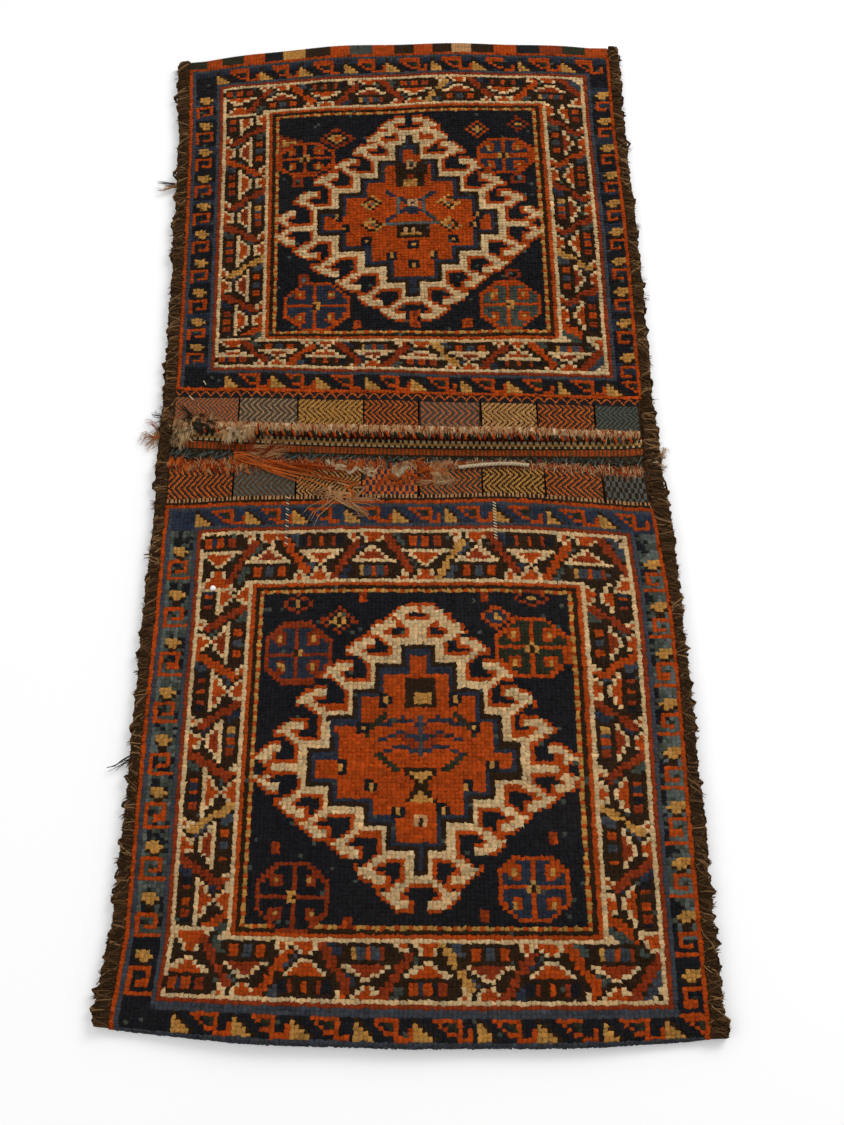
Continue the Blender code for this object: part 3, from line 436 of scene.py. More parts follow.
@dataclass(frozen=True)
class WoolFinish:
    """Wool whose colour is on the mesh, with fibres, knots or ribs, dust and wear; the ribs also carry
    painted shade in their grooves and a painted highlight on their crests.
    """

    name: str
    fibre_scale: float = 900.0
    fibre_stretch: Triple = (1.0, 0.45, 1.0)
    fibre_depth: float = 0.0005
    fibre_contrast: float = 0.42
    cloud_scale: float = 55.0
    cloud_contrast: float = 0.20
    dust: float = 0.016
    dust_colour: Colour = (0.26, 0.17, 0.09)
    rib_scale: float = 0.0
    rib_turn: float = 0.0
    rib_depth: float = 0.0004
    sheen: float = 0.02
    roughness: float = 0.92
    colour: Colour | None = None

    def make(self) -> bpy.types.Material:
        """Make the material.

        Returns:
            The material, reading the corner colour named dye, or its own colour where it has one.
        """
        material = bpy.data.materials.new(self.name)
        material.use_nodes = True
        nodes = NodeTree(material.node_tree)
        shader = material.node_tree.nodes["Principled BSDF"]
        place = nodes.add("ShaderNodeTexCoord").outputs["Object"]
        if self.colour is None:
            dyed = nodes.add("ShaderNodeAttribute", attribute_name="dye").outputs["Color"]
        else:
            dyed = nodes.add("ShaderNodeRGB").outputs[0]
            dyed.default_value = (*self.colour, 1.0)
        fibre = nodes.noise(nodes.stretch(place, self.fibre_stretch), self.fibre_scale)
        cloud = nodes.noise(place, self.cloud_scale, 4.0)
        worn = nodes.noise(place, 7.0, 5.0)
        half = self.fibre_contrast / 2
        tone = nodes.math(
            "MULTIPLY",
            nodes.span(fibre, 1 - 2 * half, 1 + 2 * half),
            nodes.span(cloud, 1 - self.cloud_contrast, 1 + self.cloud_contrast),
        )
        height = fibre
        if self.rib_scale:
            turned = nodes.stretch(place, (1.0, 1.0, 1.0), self.rib_turn)
            twist = {"Vector": turned, "Scale": self.rib_scale, "Distortion": 1.2}
            twist |= {"Detail": 1.0, "Detail Scale": 2.0}
            wave = nodes.add("ShaderNodeTexWave", twist, wave_type="BANDS", bands_direction="X")
            rib = wave.outputs["Fac"]
            # Painted shade and highlight: the rib wave that shapes the bump also darkens the colour in the
            # grooves and lightens it on the crests.
            tone = nodes.math("MULTIPLY", tone, nodes.span(rib, 0.62, 1.18))
            height = nodes.math("ADD", nodes.math("MULTIPLY", fibre, 0.5), rib)
        depth = self.rib_depth if self.rib_scale else self.fibre_depth
        bump = nodes.add("ShaderNodeBump", {"Height": height, "Strength": 0.7, "Distance": depth})
        dusty = nodes.span(worn, -self.dust * 0.6, self.dust * 2.2)
        smooth, rough = self.roughness - 0.06, min(1.0, self.roughness + 0.06)
        nodes.feed(shader, {
            "Base Color": nodes.mix(dusty, nodes.shade(dyed, tone), (*self.dust_colour, 1.0)),
            "Normal": bump.outputs[0],
            "Roughness": nodes.span(cloud, smooth, rough),
            "Sheen Weight": self.sheen,
            "Sheen Roughness": 0.45,
            "Specular IOR Level": 0.03,
        })
        return material


def dye_corners(mesh: bpy.types.Mesh, colours: np.ndarray) -> None:
    """Put one colour on each face of a mesh.

    Args:
        mesh: The mesh.
        colours: A row of red, green and blue for each face.
    """
    layer = mesh.color_attributes.new("dye", "FLOAT_COLOR", "CORNER")
    totals = np.empty(len(mesh.polygons), dtype=np.int32)
    mesh.polygons.foreach_get("loop_total", totals)
    spread_out = np.repeat(np.c_[colours, np.ones(len(colours))], totals, axis=0)
    layer.data.foreach_set("color", spread_out.astype(np.float32).ravel())


def face_centres(mesh: bpy.types.Mesh) -> np.ndarray:
    """Give the middle of each face of a mesh."""
    centres = np.empty(len(mesh.polygons) * 3)
    mesh.polygons.foreach_get("center", centres)
    return centres.reshape(-1, 3)


def corner_points(mesh: bpy.types.Mesh) -> np.ndarray:
    """Give the vertices of a mesh as rows."""
    points = np.empty(len(mesh.vertices) * 3)
    mesh.vertices.foreach_get("co", points)
    return points.reshape(-1, 3)


def move_points(mesh: bpy.types.Mesh, points: np.ndarray) -> None:
    """Put the vertices of a mesh at new places."""
    mesh.vertices.foreach_set("co", points.ravel())
    mesh.update()


def finished(mesh: bmesh.types.BMesh, name: str) -> bpy.types.Mesh:
    """Turn a worked shape into a mesh of its own."""
    data = bpy.data.meshes.new(name)
    mesh.to_mesh(data)
    mesh.free()
    return data


def add_piece(
    name: str, mesh: bpy.types.Mesh, material: bpy.types.Material, slot: str, nodes: Iterable[str] = ()
) -> bpy.types.Object:
    """Put a finished mesh into the scene as a piece of the bag.

    Args:
        name: The piece's name.
        mesh: Its mesh, already in place.
        material: Its finish.
        slot: The record's material slot; not used.
        nodes: The solids that it stands for.

    Returns:
        The piece.
    """
    piece = bpy.data.objects.new(name, mesh)
    bpy.context.scene.collection.objects.link(piece)
    mesh.materials.clear()
    mesh.materials.append(material)
    mesh.polygons.foreach_set("use_smooth", np.full(len(mesh.polygons), True))
    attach(piece, "root")
    if nodes:
        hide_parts(*nodes)
    LOG.info("%s: %d faces", name, len(mesh.polygons))
    return piece


def flat_grid(columns: int, rows: int, box: Box) -> bmesh.types.BMesh:
    """Make a flat grid.

    Args:
        columns: Faces across.
        rows: Faces along.
        box: Low u, high u, low v and high v.

    Returns:
        The grid, at the height 0.
    """
    mesh = bmesh.new()
    bmesh.ops.create_grid(mesh, x_segments=columns, y_segments=rows, size=0.5)
    low_u, high_u, low_v, high_v = box
    bmesh.ops.scale(mesh, vec=(high_u - low_u, high_v - low_v, 1.0), verts=mesh.verts)
    bmesh.ops.translate(mesh, vec=((low_u + high_u) / 2, (low_v + high_v) / 2, 0.0), verts=mesh.verts)
    return mesh


def cut_slits(mesh: bmesh.types.BMesh, slits: Sequence[Box]) -> None:
    """Delete the faces whose middle lies in a slit."""
    gone = []
    for face in mesh.faces:
        u, v, _ = face.calc_center_median()
        if any(a < u < b and c < v < d for a, b, c, d in slits):
            gone.append(face)
    bmesh.ops.delete(mesh, geom=gone, context="FACES")


def swept_roll(name: str, sections: Sequence[np.ndarray]) -> bpy.types.Mesh:
    """Sweep a closed roll through its sections.

    Args:
        name: The mesh's name.
        sections: The rings of points, all of one count, from end to end.

    Returns:
        The roll, closed at both ends.
    """
    mesh = bmesh.new()
    circle = bmesh.ops.create_circle(mesh, segments=len(sections[0]), radius=1.0, cap_ends=True)
    face = circle["verts"][0].link_faces[0]
    rings = [list(face.verts)]
    for _ in sections[1:]:
        face = bmesh.ops.extrude_discrete_faces(mesh, faces=[face])["faces"][0]
        rings.append(list(face.verts))
    for ring, points in zip(rings, sections):
        for vert, point in zip(ring, points):
            vert.co = point
    bmesh.ops.recalc_face_normals(mesh, faces=mesh.faces)
    return finished(mesh, name)


def weave_grid(
    name: str, columns: int, rows: int, box: Box, inset: float, rise: float, rim: float
) -> bpy.types.Mesh:
    """Make a flat field of raised knots or stitches.

    Args:
        name: The mesh's name.
        columns: Stitches across.
        rows: Stitches along.
        box: Low u, high u, low v and high v.
        inset: How far each stitch's top is drawn in.
        rise: How high each stitch stands.
        rim: How far the outer edge goes down.

    Returns:
        The mesh, flat, with its tops at the height of rise.
    """
    mesh = flat_grid(columns, rows, box)
    border = [edge for edge in mesh.edges if edge.is_boundary]
    bmesh.ops.inset_individual(mesh, faces=mesh.faces[:], thickness=inset, depth=rise, use_even_offset=False)
    skirt = bmesh.ops.extrude_edge_only(mesh, edges=border)
    dropped = [item for item in skirt["geom"] if isinstance(item, bmesh.types.BMVert)]
    bmesh.ops.translate(mesh, vec=(0.0, 0.0, -rim), verts=dropped)
    return finished(mesh, name)


class KnotChart:
    """The draft of one knotted face: which yarn each knot is tied with."""

    def __init__(self, cloth: ClothShape, seen: Viewpoint, columns: int, rows: int, box: Box) -> None:
        """Rule an empty chart.

        Args:
            cloth: The shape of the bag.
            seen: Where the bag is seen from.
            columns: Knots across.
            rows: Rows of knots.
            box: Left and right edge across the strip, then far and near edge along the bag.
        """
        self.cloth = cloth
        self.seen = seen
        self.columns = columns
        self.rows = rows
        self.left, self.right, self.top, self.bottom = box
        self.pitch_across = (self.right - self.left) / columns * 1000
        self.pitch_along = (self.top - self.bottom) / rows * 1000
        self.cells = np.full((rows, columns), Yarn.NAVY.number)
        self.col_middles, self.row_middles = np.meshgrid(np.arange(columns) + 0.5, np.arange(rows) + 0.5)

    def seat(self, points: Sequence[Point]) -> np.ndarray:
        """Turn places read off the spread bag into places on the chart.

        Args:
            points: Millimetres from the left and from the far end.

        Returns:
            Rows of column and row, as fractions.
        """
        read = np.asarray(points, dtype=float)
        u, y = self.seen.on_strip(self.cloth, read[:, 0], read[:, 1])
        across = (u - self.left) * 1000 / self.pitch_across
        down = (self.top - y) * 1000 / self.pitch_along
        return np.stack([across, down], axis=1)

    def inside(self, seats: np.ndarray) -> np.ndarray:
        """Find the knots inside a polygon given in columns and rows."""
        hit = np.zeros_like(self.cells, dtype=bool)
        for (x0, y0), (x1, y1) in zip(seats, np.roll(seats, -1, axis=0)):
            crosses = (y0 > self.row_middles) != (y1 > self.row_middles)
            if y0 == y1:
                continue
            reach = x0 + (self.row_middles - y0) * (x1 - x0) / (y1 - y0)
            hit ^= crosses & (self.col_middles < reach)
        return hit

    def reach(self, seats: np.ndarray, closed: bool = False) -> np.ndarray:
        """Give each knot's distance in millimetres from a line, square-ended along the weave.

        Args:
            seats: The line's points in columns and rows.
            closed: Whether the line comes back to its start.

        Returns:
            The distances.
        """
        nearest = np.full(self.cells.shape, 1e9)
        following = np.roll(seats, -1, axis=0) if closed else seats[1:]
        for start, end in zip(seats, following):
            dx, dy = (end - start) * (self.pitch_across, self.pitch_along)
            px = (self.col_middles - start[0]) * self.pitch_across
            py = (self.row_middles - start[1]) * self.pitch_along
            length = math.hypot(dx, dy) or 1e-9
            along = np.clip((px * dx + py * dy) / length**2, 0.0, 1.0)
            off_x, off_y = np.abs(px - along * dx), np.abs(py - along * dy)
            straight = min(abs(dx), abs(dy)) < 0.25 * max(abs(dx), abs(dy))
            away = np.maximum(off_x, off_y) if straight else np.hypot(off_x, off_y)
            nearest = np.minimum(nearest, away)
        return nearest

    def tie(self, where: np.ndarray, yarn: Yarn) -> None:
        """Tie the chosen knots with a yarn."""
        self.cells[where] = yarn.number

    def fill(self, points: Sequence[Point], yarn: Yarn) -> None:
        """Tie the inside of a polygon read off the bag."""
        self.tie(self.inside(self.seat(points)), yarn)

    def stroke(self, points: Sequence[Point], width: float, yarn: Yarn) -> None:
        """Tie a line of a width in millimetres, read off the bag."""
        self.tie(self.reach(self.seat(points)) <= width / 2, yarn)

    def ring(self, left: int, right: int, top: int, bottom: int, yarn: Yarn) -> None:
        """Tie a block of whole knots, its ends left out."""
        self.cells[top:bottom, left:right] = yarn.number


@dataclass(frozen=True)
class FrameLines:
    """Where the nested borders of a face start and stop, in columns and rows."""

    columns: tuple[tuple[int, int], ...]
    rows: tuple[tuple[int, int], ...]


BAR_YARNS = (
    wools("BROWN MADDER INDIGO MADDER NAVY RUST BROWN"),
    wools("BROWN MADDER BROWN STEEL BROWN MADDER BROWN"),
    wools("NAVY RUST BROWN MADDER BROWN RUST NAVY"),
    wools("BROWN GOLD STEEL MADDER STEEL RUST BROWN"),
)
KEY_FIGURE = (
    "o...rrrrrr....",
    "go...r.bbr....",
    "ggo...r.br..r.",
    "gggo...rrr..r.",
    "ggggo....rrrr.",
)
SIDE_FIGURE = (
    ".....rrrrrr.",
    ".ggo.r....r.",
    ".gggor.br.r.",
    ".gggor..r.r.",
    "..go.rrrr.r.",
    "..........r.",
)
KEY_YARNS = {"r": Yarn.MADDER, "g": Yarn.GOLD, "o": Yarn.BROWN, "b": Yarn.MOSS}
FRAME_YARNS = wools("MADDER STEEL NAVY STEEL RUST IVORY BROWN IVORY MADDER BROWN GOLD NAVY")
FRAME_COLUMNS = (
    (0, 122), (1, 121), (2, 121), (8, 116), (9, 115), (10, 114),
    (11, 113), (23, 103), (24, 102), (25, 101), (26, 100), (27, 99),
)
FAR_ROWS = (
    (0, 130), (1, 129), (2, 129), (8, 124), (9, 123), (10, 122),
    (11, 121), (21, 112), (22, 111), (23, 110), (24, 109), (25, 108),
)
NEAR_ROWS = (
    (0, 143), (1, 143), (2, 141), (7, 136), (8, 134), (9, 133),
    (10, 132), (24, 119), (25, 118), (26, 117), (27, 116), (28, 115),
)
# Places of some lines in the tables above, from the outermost
KEY_GROUND, KEY_END, KEY_EDGE, BROAD_GROUND, BROAD_END, DASHES, FIELD = 2, 3, 4, 6, 7, 10, 11


@dataclass(frozen=True)
class Medallion:
    """The stepped lozenge of a face: its outline and the corners that its hooks grow from."""

    left: tuple[Point, ...]
    right: tuple[Point, ...]
    upper_left: tuple[Point, ...]
    lower_left: tuple[Point, ...]
    upper_right: tuple[Point, ...]
    lower_right: tuple[Point, ...]
    side_y: float


def stepped(x: float, y: float, *turns: float) -> tuple[Point, ...]:
    """Give a stepped line's corners from its start and from each next y and x in turn."""
    corners = [(x, y)]
    for number, turn in enumerate(turns):
        x, y = (turn, y) if number % 2 else (x, turn)
        corners.append((x, y))
    return tuple(corners)


FAR_MEDALLION = Medallion(
    left=stepped(
        288, 118, 135, 277, 159, 258, 185, 234, 209, 210, 233, 186, 278, 211,
        301, 239, 323, 265, 345, 290, 364,
    ),
    right=stepped(
        306, 118, 133, 314, 158, 335, 186, 361, 210, 384, 235, 406, 281, 384,
        303, 359, 322, 336, 345, 312, 364,
    ),
    upper_left=((288, 121), (272, 139), (255, 159), (232, 183), (209, 205), (184, 233)),
    lower_left=((186, 281), (210, 305), (237, 327), (262, 349), (288, 368)),
    upper_right=((307, 121), (319, 139), (338, 159), (363, 185), (387, 209), (409, 235)),
    lower_right=((408, 283), (386, 306), (361, 326), (338, 348), (314, 368)),
    side_y=260,
)
NEAR_MEDALLION = Medallion(
    left=stepped(
        297, 764, 785, 279, 804, 255, 830, 232, 858, 207, 892, 187, 936, 210,
        956, 241, 973, 266, 999, 289, 1022,
    ),
    right=stepped(
        306, 764, 785, 321, 804, 343, 829, 367, 856, 387, 885, 404, 927, 378,
        949, 354, 971, 329, 999, 309, 1022,
    ),
    upper_left=((297, 768), (276, 784), (253, 804), (230, 829), (205, 857), (185, 890)),
    lower_left=((186, 938), (209, 958), (239, 976), (264, 1001), (287, 1024)),
    upper_right=((306, 768), (324, 784), (346, 805), (370, 830), (390, 857), (407, 887)),
    lower_right=((405, 930), (380, 951), (356, 973), (331, 1001), (311, 1024)),
    side_y=914,
)


class FaceDraft:
    """Drafts the traditional pattern of a knotted face: hooked medallion, rosettes and nested borders."""

    hook_stem: Point = (18.0, 13.0)
    hook_head: tuple[Point, ...] = ((24, 10), (15, 19), (6, 23), (-2, 23), (-2, 18), (5, 17), (13, 12))
    ivory_line: float = 7.0
    outline: float = 7.0
    worn_end: int = 118
    worn_share: float = 0.3
    slate_over: float = 0.72
    navy_under: float = 0.34
    key_pitch: float = 13.0
    vine_pitch: float = 12.7

    def __init__(self, chart: KnotChart, lines: FrameLines, seed: int) -> None:
        """Start a draft.

        Args:
            chart: The chart to draft on.
            lines: Where the borders run.
            seed: Seed of the small irregularities.
        """
        self.chart = chart
        self.lines = lines
        self.rng = np.random.default_rng(seed)

    def borders(self) -> None:
        """Lay the nested plain lines of the borders."""
        for (left, right), (top, bottom), yarn in zip(self.lines.columns, self.lines.rows, FRAME_YARNS):
            self.chart.ring(left, right, top, bottom, yarn)
        self.worn_ground()
        on_line = self.within(DASHES) & ~self.within(FIELD)
        columns, rows = self.chart.col_middles, self.chart.row_middles
        dash = ((columns.astype(int) + rows.astype(int)) % 3) == 0
        self.chart.tie(on_line & dash, Yarn.MADDER)

    def within(self, line: int) -> np.ndarray:
        """Find the knots inside one line of the frame."""
        columns, rows = self.chart.col_middles, self.chart.row_middles
        (left, right), (top, bottom) = self.lines.columns[line], self.lines.rows[line]
        return (columns > left) & (columns < right) & (rows > top) & (rows < bottom)

    @property
    def is_near(self) -> bool:
        """Tell whether the draft is the near face's, which has more rows."""
        return self.chart.rows > 140

    def worn_ground(self) -> None:
        """Change the dyes of the narrow border's ground where the face has other wool there."""
        columns, rows = self.chart.col_middles, self.chart.row_middles
        ground = np.isin(self.chart.cells, numbers_of(wools("NAVY INDIGO"))) & ~self.within(KEY_EDGE)
        bands = np.sin(rows * 0.9) + np.sin(rows * 0.37 + 1.0)
        if self.is_near:
            at_end = rows < self.lines.rows[KEY_END][0] + 1
            self.chart.tie(ground & at_end, Yarn.BLUE)
            worn = self.rng.random(self.chart.cells.shape) < self.worn_share
            self.chart.tie(ground & worn & at_end, Yarn.INDIGO)
            left, right = self.lines.columns[KEY_EDGE]
            at_sides = ground & ~at_end & (rows < self.worn_end)
            at_sides &= (columns < left) | (columns > right)
            streak = self.rng.random((1, self.chart.columns)) + 0.6 * self.rng.random(self.chart.cells.shape)
            mix = streak + 0.18 * bands
            self.chart.tie(at_sides & (mix > self.slate_over), Yarn.SLATE)
            self.chart.tie(at_sides & (mix <= self.slate_over), Yarn.TEAL)
            self.chart.tie(at_sides & (mix <= self.navy_under), Yarn.NAVY)
        else:
            self.chart.tie(ground & (bands > 0.5), Yarn.INDIGO)

    def unit_starts(self, low: float, high: float, pitch: float) -> list[float]:
        """Give the starts of even units between two places."""
        count = max(1, round((high - low) / pitch))
        return [low + (high - low) * step / count for step in range(count)]

    def running_dog(
        self, start: float, edge: float, length: float, deep: float, upright: bool, flip: bool
    ) -> None:
        """Draft one unit of the narrow border: a gold triangle and a red hooked figure.

        Args:
            start: Where the unit starts along the border, in knots.
            edge: The border's first knot across.
            length: Knots along.
            deep: Knots across.
            upright: Whether the border runs along the bag.
            flip: Whether the unit's inner side is its first knot.
        """
        figure = SIDE_FIGURE if upright else KEY_FIGURE
        for along in range(math.ceil(start), math.ceil(start + length)):
            for across in range(int(edge), int(edge + deep)):
                a = int((along - start) / length * len(figure[0]))
                b = int((across - edge) / deep * len(figure))
                mark = figure[len(figure) - 1 - b if flip else b][min(a, len(figure[0]) - 1)]
                column, row = (across, along) if upright else (along, across)
                if mark != "." and 0 <= column < self.chart.columns and 0 <= row < self.chart.rows:
                    self.chart.cells[row, column] = KEY_YARNS[mark].number

    def narrow_border(self) -> None:
        """Draft the running figures of the narrow outer border."""
        left_in, right_in = self.lines.columns[KEY_GROUND]
        inner_left, inner_right = self.lines.columns[KEY_END]
        top, bottom = self.lines.rows[KEY_GROUND]
        inner_top, inner_bottom = self.lines.rows[KEY_END]
        for start in self.unit_starts(left_in + 6, right_in - 1, self.key_pitch):
            self.running_dog(start, top, self.key_pitch, inner_top - top, False, False)
            self.running_dog(start + 5, inner_bottom, self.key_pitch, bottom - inner_bottom, False, False)
        pitch = 13.6 if self.is_near else 11.4
        for start in self.unit_starts(inner_top + 4, inner_bottom - 2, pitch):
            self.running_dog(start, left_in, pitch * 0.95, inner_left - left_in, True, False)
            self.running_dog(start + 3, inner_right, pitch * 0.95, right_in - inner_right, True, True)

    def placed(self, put: Put, shape: Sequence[Point], yarn: Yarn) -> None:
        """Tie a polygon given in shares of a unit."""
        self.chart.tie(self.chart.inside(np.array([put(*point) for point in shape])), yarn)

    def arm(self, put: Put, shape: Sequence[Point], width: float, yarn: Yarn) -> None:
        """Tie a line given in shares of a unit, inside the broad border only."""
        near_line = self.chart.reach(np.array([put(*point) for point in shape])) <= width / 2
        self.chart.tie(near_line & self.border_zone(), yarn)

    def border_zone(self) -> np.ndarray:
        """Give the knots of the broad border's ground."""
        return self.within(BROAD_GROUND) & ~self.within(BROAD_END)

    def outlined(self, put: Put, shape: Sequence[Point], core: Yarn) -> None:
        """Tie a figure of the broad border with an ivory outline and a brown halo round it."""
        seats = np.array([put(*point) for point in shape])
        away, zone = self.chart.reach(seats, closed=True), self.border_zone()
        self.chart.tie((away <= 4.6) & zone, Yarn.BROWN)
        self.chart.tie(self.chart.inside(seats) & zone, core)
        self.chart.tie((away <= 1.75) & zone, Yarn.IVORY)

    def vine_unit(self, put: Put, step: int) -> None:
        """Draft one half unit of the broad border: leaves, an hourglass and a chequered bar.

        Args:
            put: Turns shares across and along the unit into columns and rows.
            step: The unit's number along the border.
        """
        red = wools("RUST MADDER RUST RUST GOLD")[step % 5]
        dark = wools("TEAL STEEL INDIGO")[step % 3]
        self.arm(put, ((0.0, 0.64), (0.40, 0.84), (0.78, 1.08)), 18.0, Yarn.BROWN)
        self.outlined(put, ((-0.16, -0.02), (-0.16, 0.64), (0.32, 0.31)), Yarn.MADDER)
        inner = Yarn.RUST if step % 2 else Yarn.MADDER
        self.outlined(put, ((0.64, -0.10), (0.64, 0.72), (0.31, 0.31)), inner)
        self.outlined(put, ((1.16, 0.70), (1.16, 1.06), (0.76, 0.96)), Yarn.MADDER)
        for s in (0.69, 0.93):
            self.arm(put, ((s, -0.10), (s, 0.72)), 4.4, Yarn.BROWN)
        for index, yarn in enumerate(BAR_YARNS[step % len(BAR_YARNS)]):
            low, high = -0.08 + index * 0.115, -0.08 + (index + 1) * 0.115
            self.placed(put, ((0.72, low), (0.90, low), (0.90, high), (0.72, high)), yarn)
        self.arm(put, ((0.0, 0.76), (0.40, 0.96), (0.74, 1.18)), 7.5, dark)
        self.arm(put, ((0.0, 0.90), (0.30, 1.05)), 3.9, Yarn.IVORY)
        self.arm(put, ((0.02, 0.56), (0.40, 0.78), (0.80, 1.02)), 8.5, red)

    def broad_border(self) -> None:
        """Draft the broad border round the field."""
        left, right = self.lines.columns[BROAD_GROUND]
        top, bottom = self.lines.rows[BROAD_GROUND]
        in_left, in_right = self.lines.columns[BROAD_END]
        in_top, in_bottom = self.lines.rows[BROAD_END]
        upright_run = (in_top, in_bottom, 13.6 if self.is_near else 12.4)
        level_run = (left, right, self.vine_pitch)
        for low, high, outer_first, upright in (
            (left, in_left, True, True),
            (in_right, right, False, True),
            (top, in_top, True, False),
            (in_bottom, bottom, False, False),
        ):
            first, last, pitch = upright_run if upright else level_run
            starts = self.unit_starts(first, last, pitch)
            size = (last - first) / len(starts)
            for step, start in enumerate(starts):
                mirrored = (step % 2 == 0) == outer_first

                def put(s: float, t: float) -> Point:
                    across = low + (1 - s if mirrored else s) * (high - low)
                    along = start + t * size
                    return (across, along) if upright else (along, across)

                self.vine_unit(put, step)

    def hook(self, corner: Point, side: float, way: float) -> None:
        """Draft one latch hook, its stem slanting out and its head bent back.

        Args:
            corner: Where it grows from.
            side: -1 to the left, 1 to the right.
            way: -1 towards the far end, 1 towards the near end.
        """
        x, y = corner
        stem = [(x, y), (x + side * self.hook_stem[0], y + way * self.hook_stem[1])]
        head = [(x + side * a, y + way * b) for a, b in self.hook_head]
        seats = self.chart.seat(head)
        edge = self.chart.reach(self.chart.seat(stem)) <= self.outline - 0.8
        edge |= self.chart.reach(seats, closed=True) <= 3.6
        self.chart.tie(edge & (self.chart.cells == Yarn.NAVY.number), Yarn.MADDER)
        self.chart.tie(self.chart.reach(self.chart.seat(stem)) <= 3.2, Yarn.IVORY)
        self.chart.tie(self.chart.inside(seats) | (self.chart.reach(seats, closed=True) <= 1.1), Yarn.IVORY)

    def medallion(self, shape: Medallion) -> None:
        """Draft the stepped lozenge with its hooks and its plain layers."""
        line = list(shape.left) + list(shape.right[::-1])
        seats = self.chart.seat(line)
        away = self.chart.reach(seats, closed=True)
        within = self.chart.inside(seats)
        for corners, side, way in (
            (shape.upper_left, -1, -1),
            (shape.lower_left, -1, 1),
            (shape.upper_right, 1, -1),
            (shape.lower_right, 1, 1),
        ):
            for corner in corners:
                self.hook(corner, side, way)
        for side, x in ((-1, shape.left[10][0]), (1, shape.right[10][0])):
            stub = x + side * 27
            for way in (-1, 1):
                self.hook((stub, shape.side_y), side * 0.8, way)
            for width, yarn in ((14.0, Yarn.MADDER), (7.5, Yarn.IVORY)):
                self.chart.stroke([(x, shape.side_y), (stub, shape.side_y)], width, yarn)
        half = self.ivory_line / 2
        self.chart.tie(~within & (away <= half + 4.2) & (self.chart.cells != Yarn.IVORY.number), Yarn.MADDER)
        self.chart.tie(within, Yarn.MADDER)
        self.chart.tie(within & (away <= half + 8.4), Yarn.INDIGO)
        self.chart.tie(within & (away <= half + 4.0), Yarn.BROWN)
        self.chart.tie(away <= half, Yarn.IVORY)

    def rosette(
        self, x: float, y: float, size: float, ground: Yarn, petal: Yarn, heart: Yarn, tall: float = 0.92
    ) -> None:
        """Draft an octagon quartered by a cross, with a small flower in each quarter."""
        cut, high = size * 0.42, size * tall
        corners = [(cut, high), (size, cut * tall), (size, -cut * tall), (cut, -high)]
        ring = [(x + a, y + b) for a, b in corners] + [(x - a, y - b) for a, b in corners]
        seats = self.chart.seat(ring)
        self.chart.tie(self.chart.inside(seats), ground)
        self.chart.tie(self.chart.reach(seats, closed=True) <= 2.4, petal)
        self.chart.stroke([(x, y - high), (x, y + high)], 4.4, petal)
        self.chart.stroke([(x - size, y), (x + size, y)], 3.9, petal)
        for side in (-1, 1):
            for way in (-1, 1):
                self.floret(x + side * size * 0.50, y + way * high * 0.50, petal, heart, tall)
        self.floret(x, y, heart, Yarn.BROWN, 0.7)

    def floret(self, x: float, y: float, petal: Yarn, heart: Yarn, size: float = 1.0) -> None:
        """Draft a small flower of four petals round a heart."""
        for side in (-1, 1):
            across, along = x + side * 4.3 * size, y + side * 5.2 * size
            self.chart.stroke([(across, y - 3 * size), (across, y + 3 * size)], 4.3, petal)
            self.chart.stroke([(x - 3 * size, along), (x + 3 * size, along)], 3.9, petal)
        self.chart.stroke([(x, y - 1), (x, y + 1)], 4.4, heart)

    def florets(self, places: Sequence[Point], petal: Yarn, heart: Yarn, size: float) -> None:
        """Draft the same small flower at several places."""
        for x, y in places:
            self.floret(x, y, petal, heart, size)

    def block(self, left: float, right: float, far: float, near: float, yarn: Yarn) -> None:
        """Tie an upright block given by its edges."""
        self.chart.fill([(left, far), (right, far), (right, near), (left, near)], yarn)

    def diamond(self, x: float, y: float, wide: float, tall: float, yarns: Sequence[Yarn]) -> None:
        """Draft nested diamonds, the outermost first."""
        for step, yarn in enumerate(yarns):
            share = 1 - step / len(yarns)
            a, b = wide * share, tall * share
            self.chart.fill([(x - a, y), (x, y - b), (x + a, y), (x, y + b)], yarn)

    def flecks(self, share: float) -> None:
        """Tie a few stray knots where yarns were joined."""
        stray = self.rng.random(self.chart.cells.shape) < share
        dark = np.isin(self.chart.cells, numbers_of(wools("NAVY INDIGO BROWN")))
        self.chart.tie(stray & dark, Yarn.TEAL)

    def far_field(self) -> None:
        """Draft the field of the far face."""
        self.medallion(FAR_MEDALLION)
        chart = self.chart
        self.block(289, 310, 153, 166, Yarn.MADDER)
        self.block(281, 318, 166, 205, Yarn.BROWN)
        self.block(290, 309, 194, 203, Yarn.GOLD)
        self.floret(299, 169, Yarn.TAN, Yarn.BROWN, 0.9)
        self.block(296, 304, 183, 191, Yarn.RUST)
        for side in (-1, 1):
            for way in (-1, 1):
                chart.stroke([(300, 233), (300 + side * 28, 233 + way * 21)], 5.0, Yarn.INDIGO)
            chart.stroke([(300 + side * 14, 222), (300 + side * 14, 244)], 4.4, Yarn.SLATE)
        self.floret(300, 229, Yarn.TAN, Yarn.INDIGO, 0.9)
        self.block(294, 306, 236, 246, Yarn.INDIGO)
        chart.stroke([(268, 260), (333, 260)], 4.4, Yarn.SLATE)
        self.block(281, 320, 263, 281, Yarn.BROWN)
        for x in (292, 300, 308):
            chart.stroke([(x, 267), (x, 274)], 3.9, Yarn.TAN)
        chart.stroke([(290, 276), (311, 276)], 3.9, Yarn.GOLD)
        for x, y in ((253, 228), (345, 228), (253, 260), (345, 262)):
            self.diamond(x, y, 15, 12, wools("GOLD BROWN GOLD MADDER SLATE"))
        self.florets((
            (213, 247), (222, 263), (380, 247), (375, 262), (247, 283), (350, 283), (275, 305), (325, 305),
            (303, 290), (303, 318),
        ), Yarn.NAVY, Yarn.GOLD, 0.85)
        self.rosette(172, 157, 33, Yarn.NAVY, Yarn.MADDER, Yarn.GOLD, 0.74)
        self.rosette(413, 158, 32, Yarn.INDIGO, Yarn.MADDER, Yarn.GOLD, 0.80)
